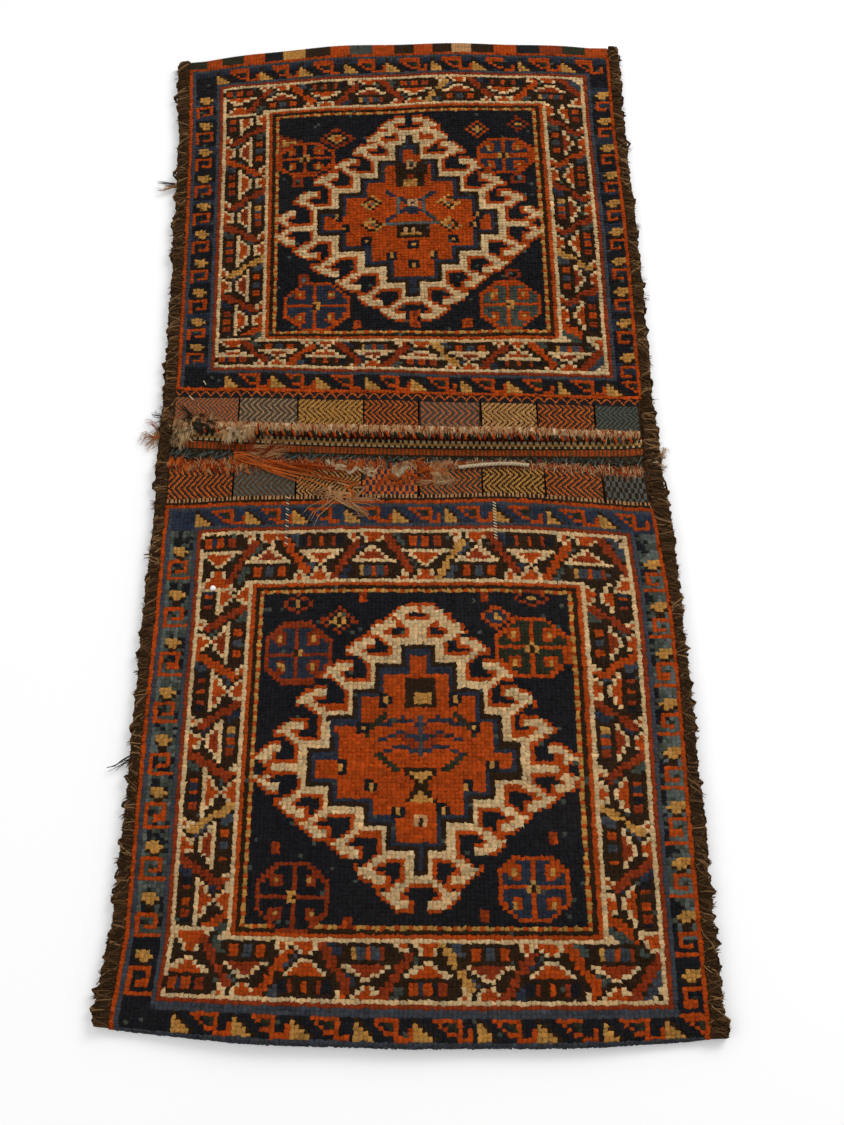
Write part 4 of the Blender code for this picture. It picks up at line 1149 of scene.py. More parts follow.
        self.rosette(189, 372, 35, Yarn.INDIGO, Yarn.MADDER, Yarn.GOLD)
        self.rosette(410, 375, 32, Yarn.TEAL, Yarn.MADDER, Yarn.GOLD)
        self.diamond(210, 126, 23, 17, wools("RUST NAVY GOLD MADDER"))
        chart.fill([(139, 117), (168, 129), (139, 143)], Yarn.RUST)
        chart.fill([(143, 124), (158, 129), (143, 137)], Yarn.GOLD)
        self.diamond(382, 118, 17, 14, wools("MADDER NAVY GOLD"))
        self.diamond(430, 110, 13, 12, wools("RUST NAVY GOLD"))
        self.florets(((163, 191), (428, 193), (173, 334), (415, 333)), Yarn.RUST, Yarn.SLATE, 1.1)
        self.florets(((237, 397), (302, 399), (363, 398), (302, 385)), Yarn.MADDER, Yarn.RUST, 0.8)

    def near_field(self) -> None:
        """Draft the field of the near face."""
        self.medallion(NEAR_MEDALLION)
        chart = self.chart
        self.block(291, 311, 806, 822, Yarn.MADDER)
        self.block(289, 319, 822, 851, Yarn.BROWN)
        self.block(296, 312, 838, 848, Yarn.GOLD)
        self.diamond(302, 882, 36, 27, wools("MADDER RUST MADDER"))
        for y in (866, 880, 894):
            zigzag = [(264, y + 5), (283, y - 3), (302, y + 5), (321, y - 3), (340, y + 5)]
            chart.stroke(zigzag, 3.9, Yarn.INDIGO)
        chart.stroke([(302, 862), (302, 900)], 3.9, Yarn.STEEL)
        for side in (-1, 1):
            chart.stroke([(302 + side * 34, 858), (302 + side * 54, 880)], 5.0, Yarn.MOSS)
            chart.stroke([(302 + side * 44, 900), (302 + side * 22, 916)], 5.0, Yarn.MOSS)
        chart.fill([(284, 915), (319, 915), (306, 932), (319, 950), (284, 950), (297, 932)], Yarn.BROWN)
        chart.fill([(290, 918), (313, 918), (302, 930)], Yarn.GOLD)
        chart.fill([(290, 948), (313, 948), (302, 936)], Yarn.GOLD)
        self.florets((
            (266, 845), (336, 845), (244, 873), (356, 873), (225, 913), (371, 911), (252, 932), (347, 932),
            (278, 957), (322, 955),
        ), Yarn.NAVY, Yarn.GOLD, 0.85)
        self.floret(301, 966, Yarn.TAN, Yarn.BROWN, 0.8)
        self.rosette(178, 795, 33, Yarn.INDIGO, Yarn.RUST, Yarn.GOLD)
        self.rosette(415, 790, 33, Yarn.MOSS, Yarn.MADDER, Yarn.GOLD)
        self.rosette(180, 1038, 33, Yarn.NAVY, Yarn.RUST, Yarn.GOLD)
        self.rosette(406, 1028, 32, Yarn.INDIGO, Yarn.MADDER, Yarn.GOLD)
        self.diamond(178, 741, 18, 12, wools("RUST NAVY GOLD"))
        self.diamond(220, 761, 20, 15, wools("RUST NAVY GOLD BROWN"))
        self.diamond(381, 757, 19, 14, wools("MADDER INDIGO GOLD"))
        self.diamond(417, 735, 19, 12, wools("RUST NAVY GOLD"))
        ends = ((244, 737), (370, 735), (163, 992), (427, 982), (230, 1062), (360, 1054))
        self.florets(ends, Yarn.RUST, Yarn.MADDER, 0.7)


@dataclass
class KnottedFace:
    """One knotted pouch face, with a raised knot for every place of its chart."""

    name: str
    cloth: ClothShape
    seen: Viewpoint
    far: bool
    rows: int
    top: float
    bottom: float
    seed: int
    columns: int = 122
    left: float = -0.2604
    right: float = 0.2651
    base: float = 0.0007
    rise: float = 0.0011
    inset: float = 0.00042
    lean: float = 0.0007
    ragged: float = 0.00072
    uneven: float = 0.00022
    rim: float = 0.0008
    tone_spread: float = 0.13
    abrash_spread: float = 0.055
    warmth_spread: float = 0.05
    stray_share: float = 0.014

    def drafted(self) -> KnotChart:
        """Draft the face's chart."""
        box = (self.left, self.right, self.top, self.bottom)
        chart = KnotChart(self.cloth, self.seen, self.columns, self.rows, box)
        draft = FaceDraft(chart, FrameLines(FRAME_COLUMNS, FAR_ROWS if self.far else NEAR_ROWS), self.seed)
        draft.borders()
        draft.narrow_border()
        draft.broad_border()
        (draft.far_field if self.far else draft.near_field)()
        draft.flecks(self.stray_share)
        return chart

    def knot_colours(self, chart: KnotChart) -> np.ndarray:
        """Give each knot its dye, uneven from knot to knot and from row to row.

        Args:
            chart: The face's chart.

        Returns:
            An array of rows, columns and colour.
        """
        rng = np.random.default_rng(self.seed)
        colours = DYES[chart.cells]
        knot = rng.normal(1.0, self.tone_spread, chart.cells.shape)
        row = np.convolve(rng.normal(0.0, 1.0, self.rows + 8), np.ones(9) / 3, "valid")
        abrash = 1 + self.abrash_spread * row[:, None]
        warm = 1 + self.warmth_spread * rng.normal(0.0, 1.0, chart.cells.shape)
        shaded = colours * np.clip(knot * abrash, 0.6, 1.5)[..., None]
        shaded[..., 0] *= warm
        shaded[..., 2] *= 2 - warm
        return shaded

    def build(self, finish: WoolFinish) -> bpy.types.Object:
        """Tie the knots and dress them.

        Args:
            finish: The pile's finish.

        Returns:
            The piece.
        """
        chart = self.drafted()
        start, end = sorted(self.cloth.face_run(place, self.far) for place in (self.top, self.bottom))
        box = (self.left, self.right, start, end)
        mesh = weave_grid(self.name, self.columns, self.rows, box, self.inset, self.rise, self.rim)
        centres = face_centres(mesh)
        across = (centres[:, 0] - self.left) / (self.right - self.left)
        column = np.clip(across * self.columns, 0, self.columns - 1)
        along = (centres[:, 1] - start) / (end - start)
        row = np.clip(along * self.rows, 0, self.rows - 1)
        colours = self.knot_colours(chart)[row.astype(int), column.astype(int)]
        dye_corners(mesh, colours)

        rng = np.random.default_rng(self.seed + 1)
        points = corner_points(mesh)
        raised = points[:, 2] > self.rise / 2
        points[:, :2] += rng.normal(0.0, self.ragged, (len(points), 2))
        points[raised, 2] += rng.normal(0.0, self.uneven, raised.sum())
        points[raised, 1] += self.lean if self.far else -self.lean
        points[:, 2] += self.cloth.cloth / 2 + self.base
        move_points(mesh, self.cloth.fold(points))
        return add_piece(self.name, mesh, finish.make(), "pile_and_kilim_wool")


class Motif(Enum):
    """How a flatwoven block is patterned."""

    CHEVRON_RIGHT = 1
    CHEVRON_LEFT = 2
    BRICK = 3


@dataclass(frozen=True)
class Block:
    """One flatwoven block between two slits."""

    width: float
    motif: Motif
    yarns: tuple[Yarn, ...]
    pitch: float = 0.0052
    turns: float = 1.0


FAR_BLOCKS = (
    Block(62, Motif.CHEVRON_LEFT, wools("ORANGE KILIM SLATE"), 0.0050, 2.0),
    Block(65, Motif.CHEVRON_LEFT, wools("SLATE KILIM TEAL TAN"), 0.0068, 2.0),
    Block(70, Motif.CHEVRON_RIGHT, wools("GOLD GOLD BROWN"), 0.0062, 1.5),
    Block(58, Motif.CHEVRON_RIGHT, wools("ORANGE NAVY KILIM"), 0.0062, 1.8),
    Block(65, Motif.CHEVRON_LEFT, wools("ORANGE TEAL KILIM SLATE"), 0.0072, 1.6),
    Block(58, Motif.CHEVRON_RIGHT, wools("GOLD TAN BROWN"), 0.0060, 1.5),
    Block(58, Motif.CHEVRON_LEFT, wools("ORANGE NAVY KILIM"), 0.0062, 2.4),
    Block(37, Motif.CHEVRON_LEFT, wools("SLATE MOSS TEAL"), 0.0054, 2.0),
)
NEAR_BLOCKS = (
    Block(62, Motif.CHEVRON_RIGHT, wools("ORANGE NAVY KILIM"), 0.0064, 1.5),
    Block(68, Motif.CHEVRON_RIGHT, wools("SLATE KILIM"), 0.0064, 1.5),
    Block(70, Motif.CHEVRON_RIGHT, wools("TAN BROWN GOLD BROWN"), 0.0100, 1.2),
    Block(60, Motif.BRICK, wools("ORANGE INDIGO"), 0.0066),
    Block(67, Motif.CHEVRON_LEFT, wools("ORANGE MOSS TEAL"), 0.0060, 2.0),
    Block(65, Motif.CHEVRON_RIGHT, wools("GOLD BROWN"), 0.0062, 1.3),
    Block(58, Motif.CHEVRON_RIGHT, wools("ORANGE NAVY KILIM"), 0.0064, 1.5),
    Block(35, Motif.BRICK, wools("SLATE BROWN"), 0.0064),
)


@dataclass
class StitchField:
    """A stretch of flatweave with a raised stitch for each crossing, coloured by a rule."""

    name: str
    cloth: ClothShape
    box: Box
    stitch: tuple[float, float]
    colour_rule: Callable[[np.ndarray, np.ndarray], np.ndarray]
    slits: tuple[Box, ...] = ()
    on_back: bool = False
    rise: float = 0.0008
    rim: float = 0.0004
    base: float = 0.0001
    draw_in: float = 0.2
    ragged: float = 0.00016
    tone_spread: float = 0.14
    seed: int = SEED

    def build(self, finish: WoolFinish) -> bpy.types.Object:
        """Work the stitches and dress them.

        Args:
            finish: The flatweave's finish.

        Returns:
            The piece.
        """
        low_u, high_u, low_v, high_v = self.box
        columns = round((high_u - low_u) / self.stitch[0])
        rows = round((high_v - low_v) / self.stitch[1])
        inset = min(self.stitch) * self.draw_in
        mesh = weave_grid(self.name, columns, rows, self.box, inset, self.rise, self.rim)
        centres = face_centres(mesh)
        numbers = self.colour_rule(centres[:, 0], centres[:, 1])
        column = ((centres[:, 0] - low_u) / self.stitch[0]).astype(int)
        row = ((centres[:, 1] - low_v) / self.stitch[1]).astype(int)
        rng = np.random.default_rng(self.seed)
        tones = rng.normal(1.0, self.tone_spread, (rows + 2, columns + 2))
        tone = tones[np.clip(row, 0, rows), np.clip(column, 0, columns)]
        dye_corners(mesh, DYES[numbers] * np.clip(tone, 0.6, 1.5)[:, None])
        if self.slits:
            work = bmesh.new()
            work.from_mesh(mesh)
            cut_slits(work, self.slits)
            work.to_mesh(mesh)
            work.free()
        points = corner_points(mesh)
        points[:, :2] += rng.normal(0.0, self.ragged, (len(points), 2))
        points[:, 2] += self.cloth.cloth / 2 + self.base
        if self.on_back:
            points[:, 2] *= -1
        move_points(mesh, self.cloth.fold(points))
        if self.on_back:
            mesh.flip_normals()
        return add_piece(self.name, mesh, finish.make(), "pile_and_kilim_wool")


@dataclass
class MouthPanels:
    """The flatwoven closing panels of one mouth, their slits and the small patterns beside them."""

    cloth: ClothShape
    far: bool
    blocks: tuple[Block, ...]
    depth: float = 0.0365
    edge_row: float = 0.0085
    slit_width: float = 0.0022
    slit_length: float = 0.028
    slit_from_lip: float = 0.011
    half: float = 0.2507
    margin: float = 0.0105
    block_gap: float = 0.0012
    brick: float = 0.0065
    scallop: float = 0.0122
    scallop_height: float = 0.0060
    scallop_line: float = 0.0010
    dot: float = 0.0022
    stitch: Point = (0.0018, 0.0015)

    def edges(self) -> np.ndarray:
        """Give the edges of the blocks across the strip."""
        ends = np.cumsum([0.0] + [block.width for block in self.blocks])
        return self.half * (2 * ends / ends[-1] - 1)

    @property
    def lip(self) -> float:
        """Where the mouth's edge is."""
        return self.cloth.far_lip if self.far else self.cloth.near_lip

    def run(self, deep: float) -> float:
        """Give the place along the flat strip at a depth behind the lip."""
        return self.cloth.face_run(self.lip + (deep if self.far else -deep), self.far)

    def colours(self, u: np.ndarray, v: np.ndarray) -> np.ndarray:
        """Give each stitch its yarn.

        Args:
            u: Places across.
            v: Places along the strip.

        Returns:
            The yarns' numbers.
        """
        deep = np.abs(v - self.run(0.0))
        numbers = np.full(u.shape, Yarn.BROWN.number)
        edges = self.edges()
        edges[[0, -1]] += (-self.margin, self.margin)
        for block, left, right in zip(self.blocks, edges, edges[1:]):
            here = (u >= left + self.block_gap) & (u < right - self.block_gap)
            run = self.depth / block.turns
            bend = np.abs(deep % run - run / 2)
            way = -1.0 if block.motif is Motif.CHEVRON_RIGHT else 1.0
            phase = (u - way * bend) / block.pitch
            if block.motif is Motif.BRICK:
                phase = (u + (np.floor(deep / self.brick) % 2) * block.pitch / 2) / block.pitch
            pick = np.floor((phase % 1.0) * len(block.yarns)).astype(int)
            choice = numbers_of(block.yarns)[np.clip(pick, 0, len(block.yarns) - 1)]
            numbers = np.where(here, choice, numbers)
        edge = deep > self.depth
        if self.far:
            arc = self.scallop_height * np.abs(np.sin(math.pi * u / self.scallop))
            on_arc = np.abs(deep - self.depth - 0.0016 - arc) < self.scallop_line
            numbers = np.where(edge, np.where(on_arc, Yarn.ORANGE.number, Yarn.NAVY.number), numbers)
        else:
            dots = (np.floor(u / self.dot) % 2 == 0) & (deep < self.depth + 0.0035)
            numbers = np.where(edge, np.where(dots, Yarn.TAN.number, Yarn.BROWN.number), numbers)
        return numbers

    def slit_boxes(self) -> tuple[Box, ...]:
        """Give the slits as boxes on the flat strip."""
        ends = (self.run(self.slit_from_lip), self.run(self.slit_from_lip + self.slit_length))
        low, high = sorted(ends)
        half_slit = self.slit_width / 2
        return tuple((edge - half_slit, edge + half_slit, low, high) for edge in self.edges()[1:-1])

    def build(self, finish: WoolFinish) -> bpy.types.Object:
        """Work the panels."""
        low, high = sorted((self.run(0.001), self.run(self.depth + self.edge_row)))
        box = (-self.half - self.margin, self.half + self.margin, low, high)
        name = "far_closing_panels" if self.far else "near_closing_panels"
        field = StitchField(name, self.cloth, box, self.stitch, self.colours, self.slit_boxes())
        return field.build(finish)


@dataclass
class Bridge:
    """The short flatwoven stretch between the two mouths, in narrow bands."""

    cloth: ClothShape
    reach: float = 0.262
    near: float = -0.012
    far: float = 0.033
    stitch: Point = (0.0022, 0.0022)

    def colours(self, u: np.ndarray, v: np.ndarray) -> np.ndarray:
        """Give each stitch its yarn, band by band.

        Args:
            u: Places across.
            v: Places along the strip.

        Returns:
            The yarns' numbers.
        """
        numbers = np.full(u.shape, Yarn.BROWN.number)

        def band(low: float, high: float, rule: np.ndarray, yes: Yarn, no: Yarn) -> None:
            here = (v >= low) & (v < high)
            numbers[here] = np.where(rule, yes.number, no.number)[here]

        bars = np.floor(u / 0.0020) % 2 == 0
        band(self.near, -0.002, np.floor(u / 0.005) % 2 == 0, Yarn.RUST, Yarn.BROWN)
        band(-0.002, 0.0085, ((u + 0.8 * v) / 0.0095) % 1.0 < 0.30, Yarn.TEAL, Yarn.BROWN)
        band(0.0095, 0.018, bars, Yarn.MADDER, Yarn.KILIM)
        dots = ((u + np.where(v > 0.0235, 0.0033, 0.0)) % 0.0066 < 0.0033) & (np.abs(v - 0.0235) > 0.0012)
        band(0.019, 0.028, dots, Yarn.IVORY, Yarn.MOSS)
        band(0.0228, 0.0242, bars, Yarn.GOLD, Yarn.GOLD)
        band(0.028, self.far, bars, Yarn.RUST, Yarn.BROWN)
        return numbers

    def build(self, finish: WoolFinish) -> bpy.types.Object:
        """Work the bands."""
        box = (-self.reach, self.reach, self.near, self.far)
        bands = StitchField("bridge_bands", self.cloth, box, self.stitch, self.colours, on_back=True)
        return bands.build(finish)


@dataclass
class EndBlocks:
    """The flatwoven blocks that come over the far fold, beyond the knots."""

    cloth: ClothShape
    edges: tuple[float, ...] = (
        -0.262, -0.240, -0.220, -0.192, -0.163, -0.140, -0.110, -0.080, -0.055, -0.025, 0.0,
        0.025, 0.048, 0.072, 0.098, 0.126, 0.154, 0.182, 0.208, 0.236, 0.264,
    )
    yarns: tuple[Yarn, ...] = wools(
    "MOSS MADDER MOSS MADDER NAVY GOLD BROWN MADDER TEAL MADDER "
    "BROWN MADDER BROWN TAN BROWN MADDER NAVY RUST MOSS MADDER"
)

    def colours(self, u: np.ndarray, v: np.ndarray) -> np.ndarray:
        """Give each stitch its block's yarn."""
        block = np.clip(np.searchsorted(np.array(self.edges), u) - 1, 0, len(self.yarns) - 1)
        return numbers_of(self.yarns)[block]

    def build(self, finish: WoolFinish) -> bpy.types.Object:
        """Work the blocks."""
        low = self.cloth.tangent - 0.020
        high = self.cloth.face_run(0.560, True)
        box = (self.edges[0], self.edges[-1], low, high)
        return StitchField("far_end_blocks", self.cloth, box, (0.0040, 0.0030), self.colours).build(finish)


@dataclass
class WovenCloth:
    """The strip's ground cloth: back, folds, pouch faces and lips, one sheet folded at both ends."""

    cloth: ClothShape
    panels: tuple[MouthPanels, MouthPanels]
    across: int = 44
    along: int = 180
    stripe_yarns: tuple[Yarn, ...] = wools("KILIM NAVY RUST TEAL KILIM TAN BROWN")
    stripe_widths: tuple[float, ...] = (0.052, 0.012, 0.026, 0.010, 0.040, 0.006, 0.018)

    def stripes(self, v: np.ndarray) -> np.ndarray:
        """Give the yarn of each place of the striped back."""
        ends = np.cumsum(self.stripe_widths)
        place = np.abs(v) % ends[-1]
        return numbers_of(self.stripe_yarns)[np.searchsorted(ends, place)]

    def build(self, finish: WoolFinish) -> bpy.types.Object:
        """Weave and fold the ground cloth.

        Args:
            finish: The flatweave's finish.

        Returns:
            The piece.
        """
        shape = self.cloth
        low = shape.face_run(shape.near_lip, False)
        high = shape.face_run(shape.far_lip, True)
        mesh = flat_grid(self.across, self.along, (-shape.strip_half, shape.strip_half, low, high))
        slits = [box for panel in self.panels for box in panel.slit_boxes()]
        cuts = {("u", value) for box in slits for value in box[:2]}
        cuts |= {("v", value) for box in slits for value in box[2:]}
        for axis, value in sorted(cuts):
            place, normal = ((value, 0, 0), (1, 0, 0)) if axis == "u" else ((0, value, 0), (0, 1, 0))
            geometry = mesh.verts[:] + mesh.edges[:] + mesh.faces[:]
            bmesh.ops.bisect_plane(mesh, geom=geometry, plane_co=place, plane_no=normal, dist=1e-6)
        cut_slits(mesh, slits)
        raised = bmesh.ops.extrude_face_region(mesh, geom=mesh.faces[:] + mesh.edges[:])
        moved = [item for item in raised["geom"] if isinstance(item, bmesh.types.BMVert)]
        bmesh.ops.translate(mesh, vec=(0, 0, shape.cloth), verts=moved)
        bmesh.ops.translate(mesh, vec=(0, 0, -shape.cloth / 2), verts=mesh.verts)
        bmesh.ops.recalc_face_normals(mesh, faces=mesh.faces)
        data = finished(mesh, "woven_cloth")
        dye_corners(data, DYES[self.stripes(face_centres(data)[:, 1])])
        move_points(data, shape.fold(corner_points(data)))
        return add_piece("woven_cloth", data, finish.make(), "pile_and_kilim_wool", ["woven_strip"])


def strands_mesh(
    name: str, strands: Sequence[np.ndarray], root: float, tip: float, sides: int = 0
) -> bpy.types.Mesh:
    """Turn lines of points into tapered hairs.

    Args:
        name: The mesh's name.
        strands: Each strand's points.
        root: Radius at the first point.
        tip: Share of that radius at the last point.
        sides: Extra roundness of the hairs.

    Returns:
        The mesh.
    """
    curve = bpy.data.curves.new(name, "CURVE")
    curve.dimensions = "3D"
    curve.bevel_depth = root
    curve.bevel_resolution = sides
    curve.use_fill_caps = True
    for points in strands:
        spline = curve.splines.new("POLY")
        spline.points.add(len(points) - 1)
        spline.points.foreach_set("co", np.c_[points, np.ones(len(points))].ravel())
        spline.points.foreach_set("radius", np.linspace(1.0, tip, len(points)))
    holder = bpy.data.objects.new(name, curve)
    bpy.context.scene.collection.objects.link(holder)
    graph = bpy.context.evaluated_depsgraph_get()
    mesh = bpy.data.meshes.new_from_object(holder.evaluated_get(graph))
    bpy.data.objects.remove(holder)
    bpy.data.curves.remove(curve)
    mesh.name = name
    return mesh


def joined_yarns(groups: dict[Yarn, list[np.ndarray]], radius: float) -> bmesh.types.BMesh:
    """Make the strands of each yarn and join them all."""
    joined = bmesh.new()
    for yarn, strands in groups.items():
        mesh = strands_mesh("yarn", strands, radius, 0.9, 1)
        dye_corners(mesh, np.tile(yarn.value, (len(mesh.polygons), 1)))
        joined.from_mesh(mesh)
    return joined


def dyed_strands(
    name: str, strands: Sequence[np.ndarray], radius: float, tip: float, dyes: np.ndarray
) -> bpy.types.Mesh:
    """Make hairs that are each one colour; all have the same number of points."""
    mesh = strands_mesh(name, strands, radius, tip)
    dye_corners(mesh, np.repeat(dyes, len(mesh.polygons) // len(strands), axis=0))
    return mesh


GOAT_TONES = ((0.0340, 0.0170, 0.0070), (0.0850, 0.0420, 0.0170), (0.2000, 0.1080, 0.0440))
TONE_SHARES = (0.50, 0.36, 0.14)


@dataclass
class SideBinding:
    """The goat hair that is wrapped round one side seam, with its tufts."""

    cloth: ClothShape
    side: int
    reach: float
    seed: int
    step: float = 0.0030
    wrap: float = 0.0034
    ring: int = 14
    spike_pitch: float = 0.0125
    spike_height: float = 0.0064
    turn_pitch: float = 0.0017
    mouth_reach: float = 0.0
    squareness: float = 0.42
    clumps: int = 66
    fuzz: int = 1900
    turn_radius: float = 0.0013
    hair_radius: float = 0.00042

    @property
    def name(self) -> str:
        """The side's name."""
        return "left" if self.side < 0 else "right"

    def outside(self, y: np.ndarray) -> np.ndarray:
        """Give how far the wrapping stands out beyond the strip at y."""
        phase = 1.7 if self.side < 0 else 0.4
        slow = np.sin(y * 61 + phase) * 0.0009 + np.sin(y * 151 + 2 * phase) * 0.0007
        quick = np.abs(np.sin(y * 262 + phase)) ** 3 * 0.0012
        return self.cloth.binding_wall + 0.0006 + slow + quick

    def section(self, y: float, angles: np.ndarray) -> np.ndarray:
        """Give the outline of the wrapping at y.

        Args:
            y: Place along the bag.
            angles: Angles round the outline, from the outer side.

        Returns:
            Rows of x, y and z.
        """
        shape = self.cloth
        edge = shape.strip_half
        stacked = y > shape.far_lip or y < shape.near_lip
        top = shape.face_height(np.float64(edge), y) if stacked else shape.back_height(np.float64(edge))
        top = float(top) + shape.cloth / 2
        low = FLOOR_GAP
        out = float(self.outside(np.float64(y)))
        reach = self.reach + self.mouth_reach * float(smoothstep(0.11, 0.06, y) * smoothstep(-0.09, -0.04, y))
        half_width = (reach + out) / 2
        middle_u = edge + out - half_width
        half_high = (top + shape.binding_wall - low) / 2
        wrapped = 0.00032 * np.sin(2 * math.pi * y / self.wrap + angles * 2)
        cos, sin = np.cos(angles), np.sin(angles)
        a = np.sign(cos) * np.abs(cos) ** self.squareness * (half_width + wrapped)
        b = np.sign(sin) * np.abs(sin) ** self.squareness * (half_high + wrapped)
        u = self.side * (middle_u + a)
        x, floor_y = shape.spread(u, np.full_like(u, y))
        return np.stack([x, floor_y, low + half_high + b], axis=1) + shape.shift

    def wrapping(self) -> bpy.types.Mesh:
        """Sweep the wrapped roll from fold to fold."""
        angles = np.linspace(0, 2 * math.pi, self.ring, endpoint=False)
        end = self.cloth.tangent + self.cloth.fold_radius * 0.55
        places = np.linspace(-end, end, int(2 * end / self.step) + 1)
        return swept_roll(f"{self.name}_binding_roll", [self.section(float(y), angles) for y in places])

    def spikes(self, y: np.ndarray) -> np.ndarray:
        """Give how far the wrapping is drawn out at y, in spikes at uneven places."""
        rng = np.random.default_rng(self.seed + 40)
        half = self.cloth.half_length
        count = int(2 * half / self.spike_pitch)
        centres = np.linspace(-half, half, count) + rng.normal(0, 0.0035, count)
        heights = self.spike_height * rng.uniform(0.1, 1.0, count) ** 1.6
        widths = rng.uniform(0.0028, 0.0058, count)
        away = np.abs(np.asarray(y)[..., None] - centres) / widths
        return (heights * np.clip(1 - away, 0.0, 1.0)).max(axis=-1)

    def wraps(self) -> tuple[list[np.ndarray], np.ndarray]:
        """Give the turns of goat hair round the seam and each turn's colour."""
        rng = np.random.default_rng(self.seed + 41)
        end = self.cloth.tangent + self.cloth.fold_radius * 0.4
        strands, dyes = [], []
        for y in np.arange(-end, end, self.turn_pitch):
            start, stop = rng.uniform(-1.0, -0.5), rng.uniform(2.2, 3.05)
            angles = np.linspace(start, stop, 7)
            slant = rng.normal(0.0030, 0.0085)
            slack = rng.uniform(0.0, 0.0012)
            points = []
            for angle in angles:
                place = float(np.clip(y + slant * (angle - 1.0) / 2, -end, end))
                point = self.section(place, np.array([angle]))[0]
                out = float(self.spikes(np.float64(place))) * max(math.cos(angle), 0.0) ** 2
                point[0] += self.side * (out + slack * math.cos(angle))
                point[2] += slack * max(math.sin(angle), 0.0)
                points.append(point)
            strands.append(np.array(points))
            tone = GOAT_TONES[rng.choice(len(GOAT_TONES), p=TONE_SHARES)]
            dyes.append(np.array(tone) * rng.uniform(0.8, 1.25))
        return strands, np.array(dyes)

    def hairs(self) -> list[np.ndarray]:
        """Give the loose hairs: pointed clumps along the edge and short fuzz all over."""
        rng = np.random.default_rng(self.seed)
        end = self.cloth.tangent - 0.004
        strands = []
        centres = np.linspace(-end, end, self.clumps) + rng.normal(0, 0.005, self.clumps)
        roots = [(y, rng.integers(7, 13), rng.uniform(0.0030, 0.0080)) for y in centres]
        for centre, count, length in roots:
            aim = rng.normal(0, 0.45)
            for _ in range(count):
                place, long = centre + rng.normal(0, 0.0011), length * rng.uniform(0.6, 1.1)
                strands.append(self.hair(rng, place, long, aim, 0.0))
        for _ in range(self.fuzz):
            place, long = rng.uniform(-end, end), rng.uniform(0.0018, 0.0042)
            aim, over = rng.normal(0, 0.9), rng.uniform(0, 1)
            strands.append(self.hair(rng, place, long, aim, over))
        return strands

    def hair(self, rng: np.random.Generator, y: float, length: float, aim: float, over: float) -> np.ndarray:
        """Grow one hair out of the wrapping.

        Args:
            rng: Source of chance.
            y: Its root along the bag.
            length: Its length.
            aim: Its heading from straight out, in radians.
            over: 0 for the outer edge, 1 for the top of the wrapping.

        Returns:
            Its points.
        """
        angle = over * 2.0 + rng.normal(0, 0.25)
        y = float(np.clip(y, -self.cloth.tangent, self.cloth.tangent))
        root = self.section(y, np.array([angle]))[0]
        outward = self.side * math.cos(angle) * math.cos(aim)
        out = np.array([outward, math.sin(aim), max(math.sin(angle), -0.1) + 0.08])
        out /= np.linalg.norm(out)
        steps = np.linspace(-0.15, 1.0, 3)[:, None]
        sag = np.array([0.0, -0.0006, -0.0012]) * steps**2
        curl = rng.normal(0, length * 0.13, 3) * steps**2
        points = root + out * length * steps + sag + curl
        points[:, 2] = np.maximum(points[:, 2], FLOOR_GAP)
        return points

    def build(self, roll: WoolFinish, hair: WoolFinish) -> None:
        """Make the wrapping and its hairs.

        Args:
            roll: The wrapping's finish.
            hair: The loose hairs' finish.
        """
        node = f"{self.name}_side_binding"
        add_piece(f"{self.name}_binding_wrap", self.wrapping(), roll.make(), "goat_hair", [node])
        turns, dyes = self.wraps()
        mesh = dyed_strands(f"{self.name}_binding_turns", turns, self.turn_radius, 0.45, dyes)
        add_piece(f"{self.name}_binding_turns", mesh, hair.make(), "goat_hair")
        strands = self.hairs()
        shares = np.random.default_rng(self.seed).uniform(0.5, 2.3, (len(strands), 1))
        shades = shares * np.array(GOAT_TONES[1])
        mesh = dyed_strands(f"{self.name}_binding_hair", strands, self.hair_radius, 0.3, shades)
        add_piece(f"{self.name}_binding_hair", mesh, hair.make(), "goat_hair")


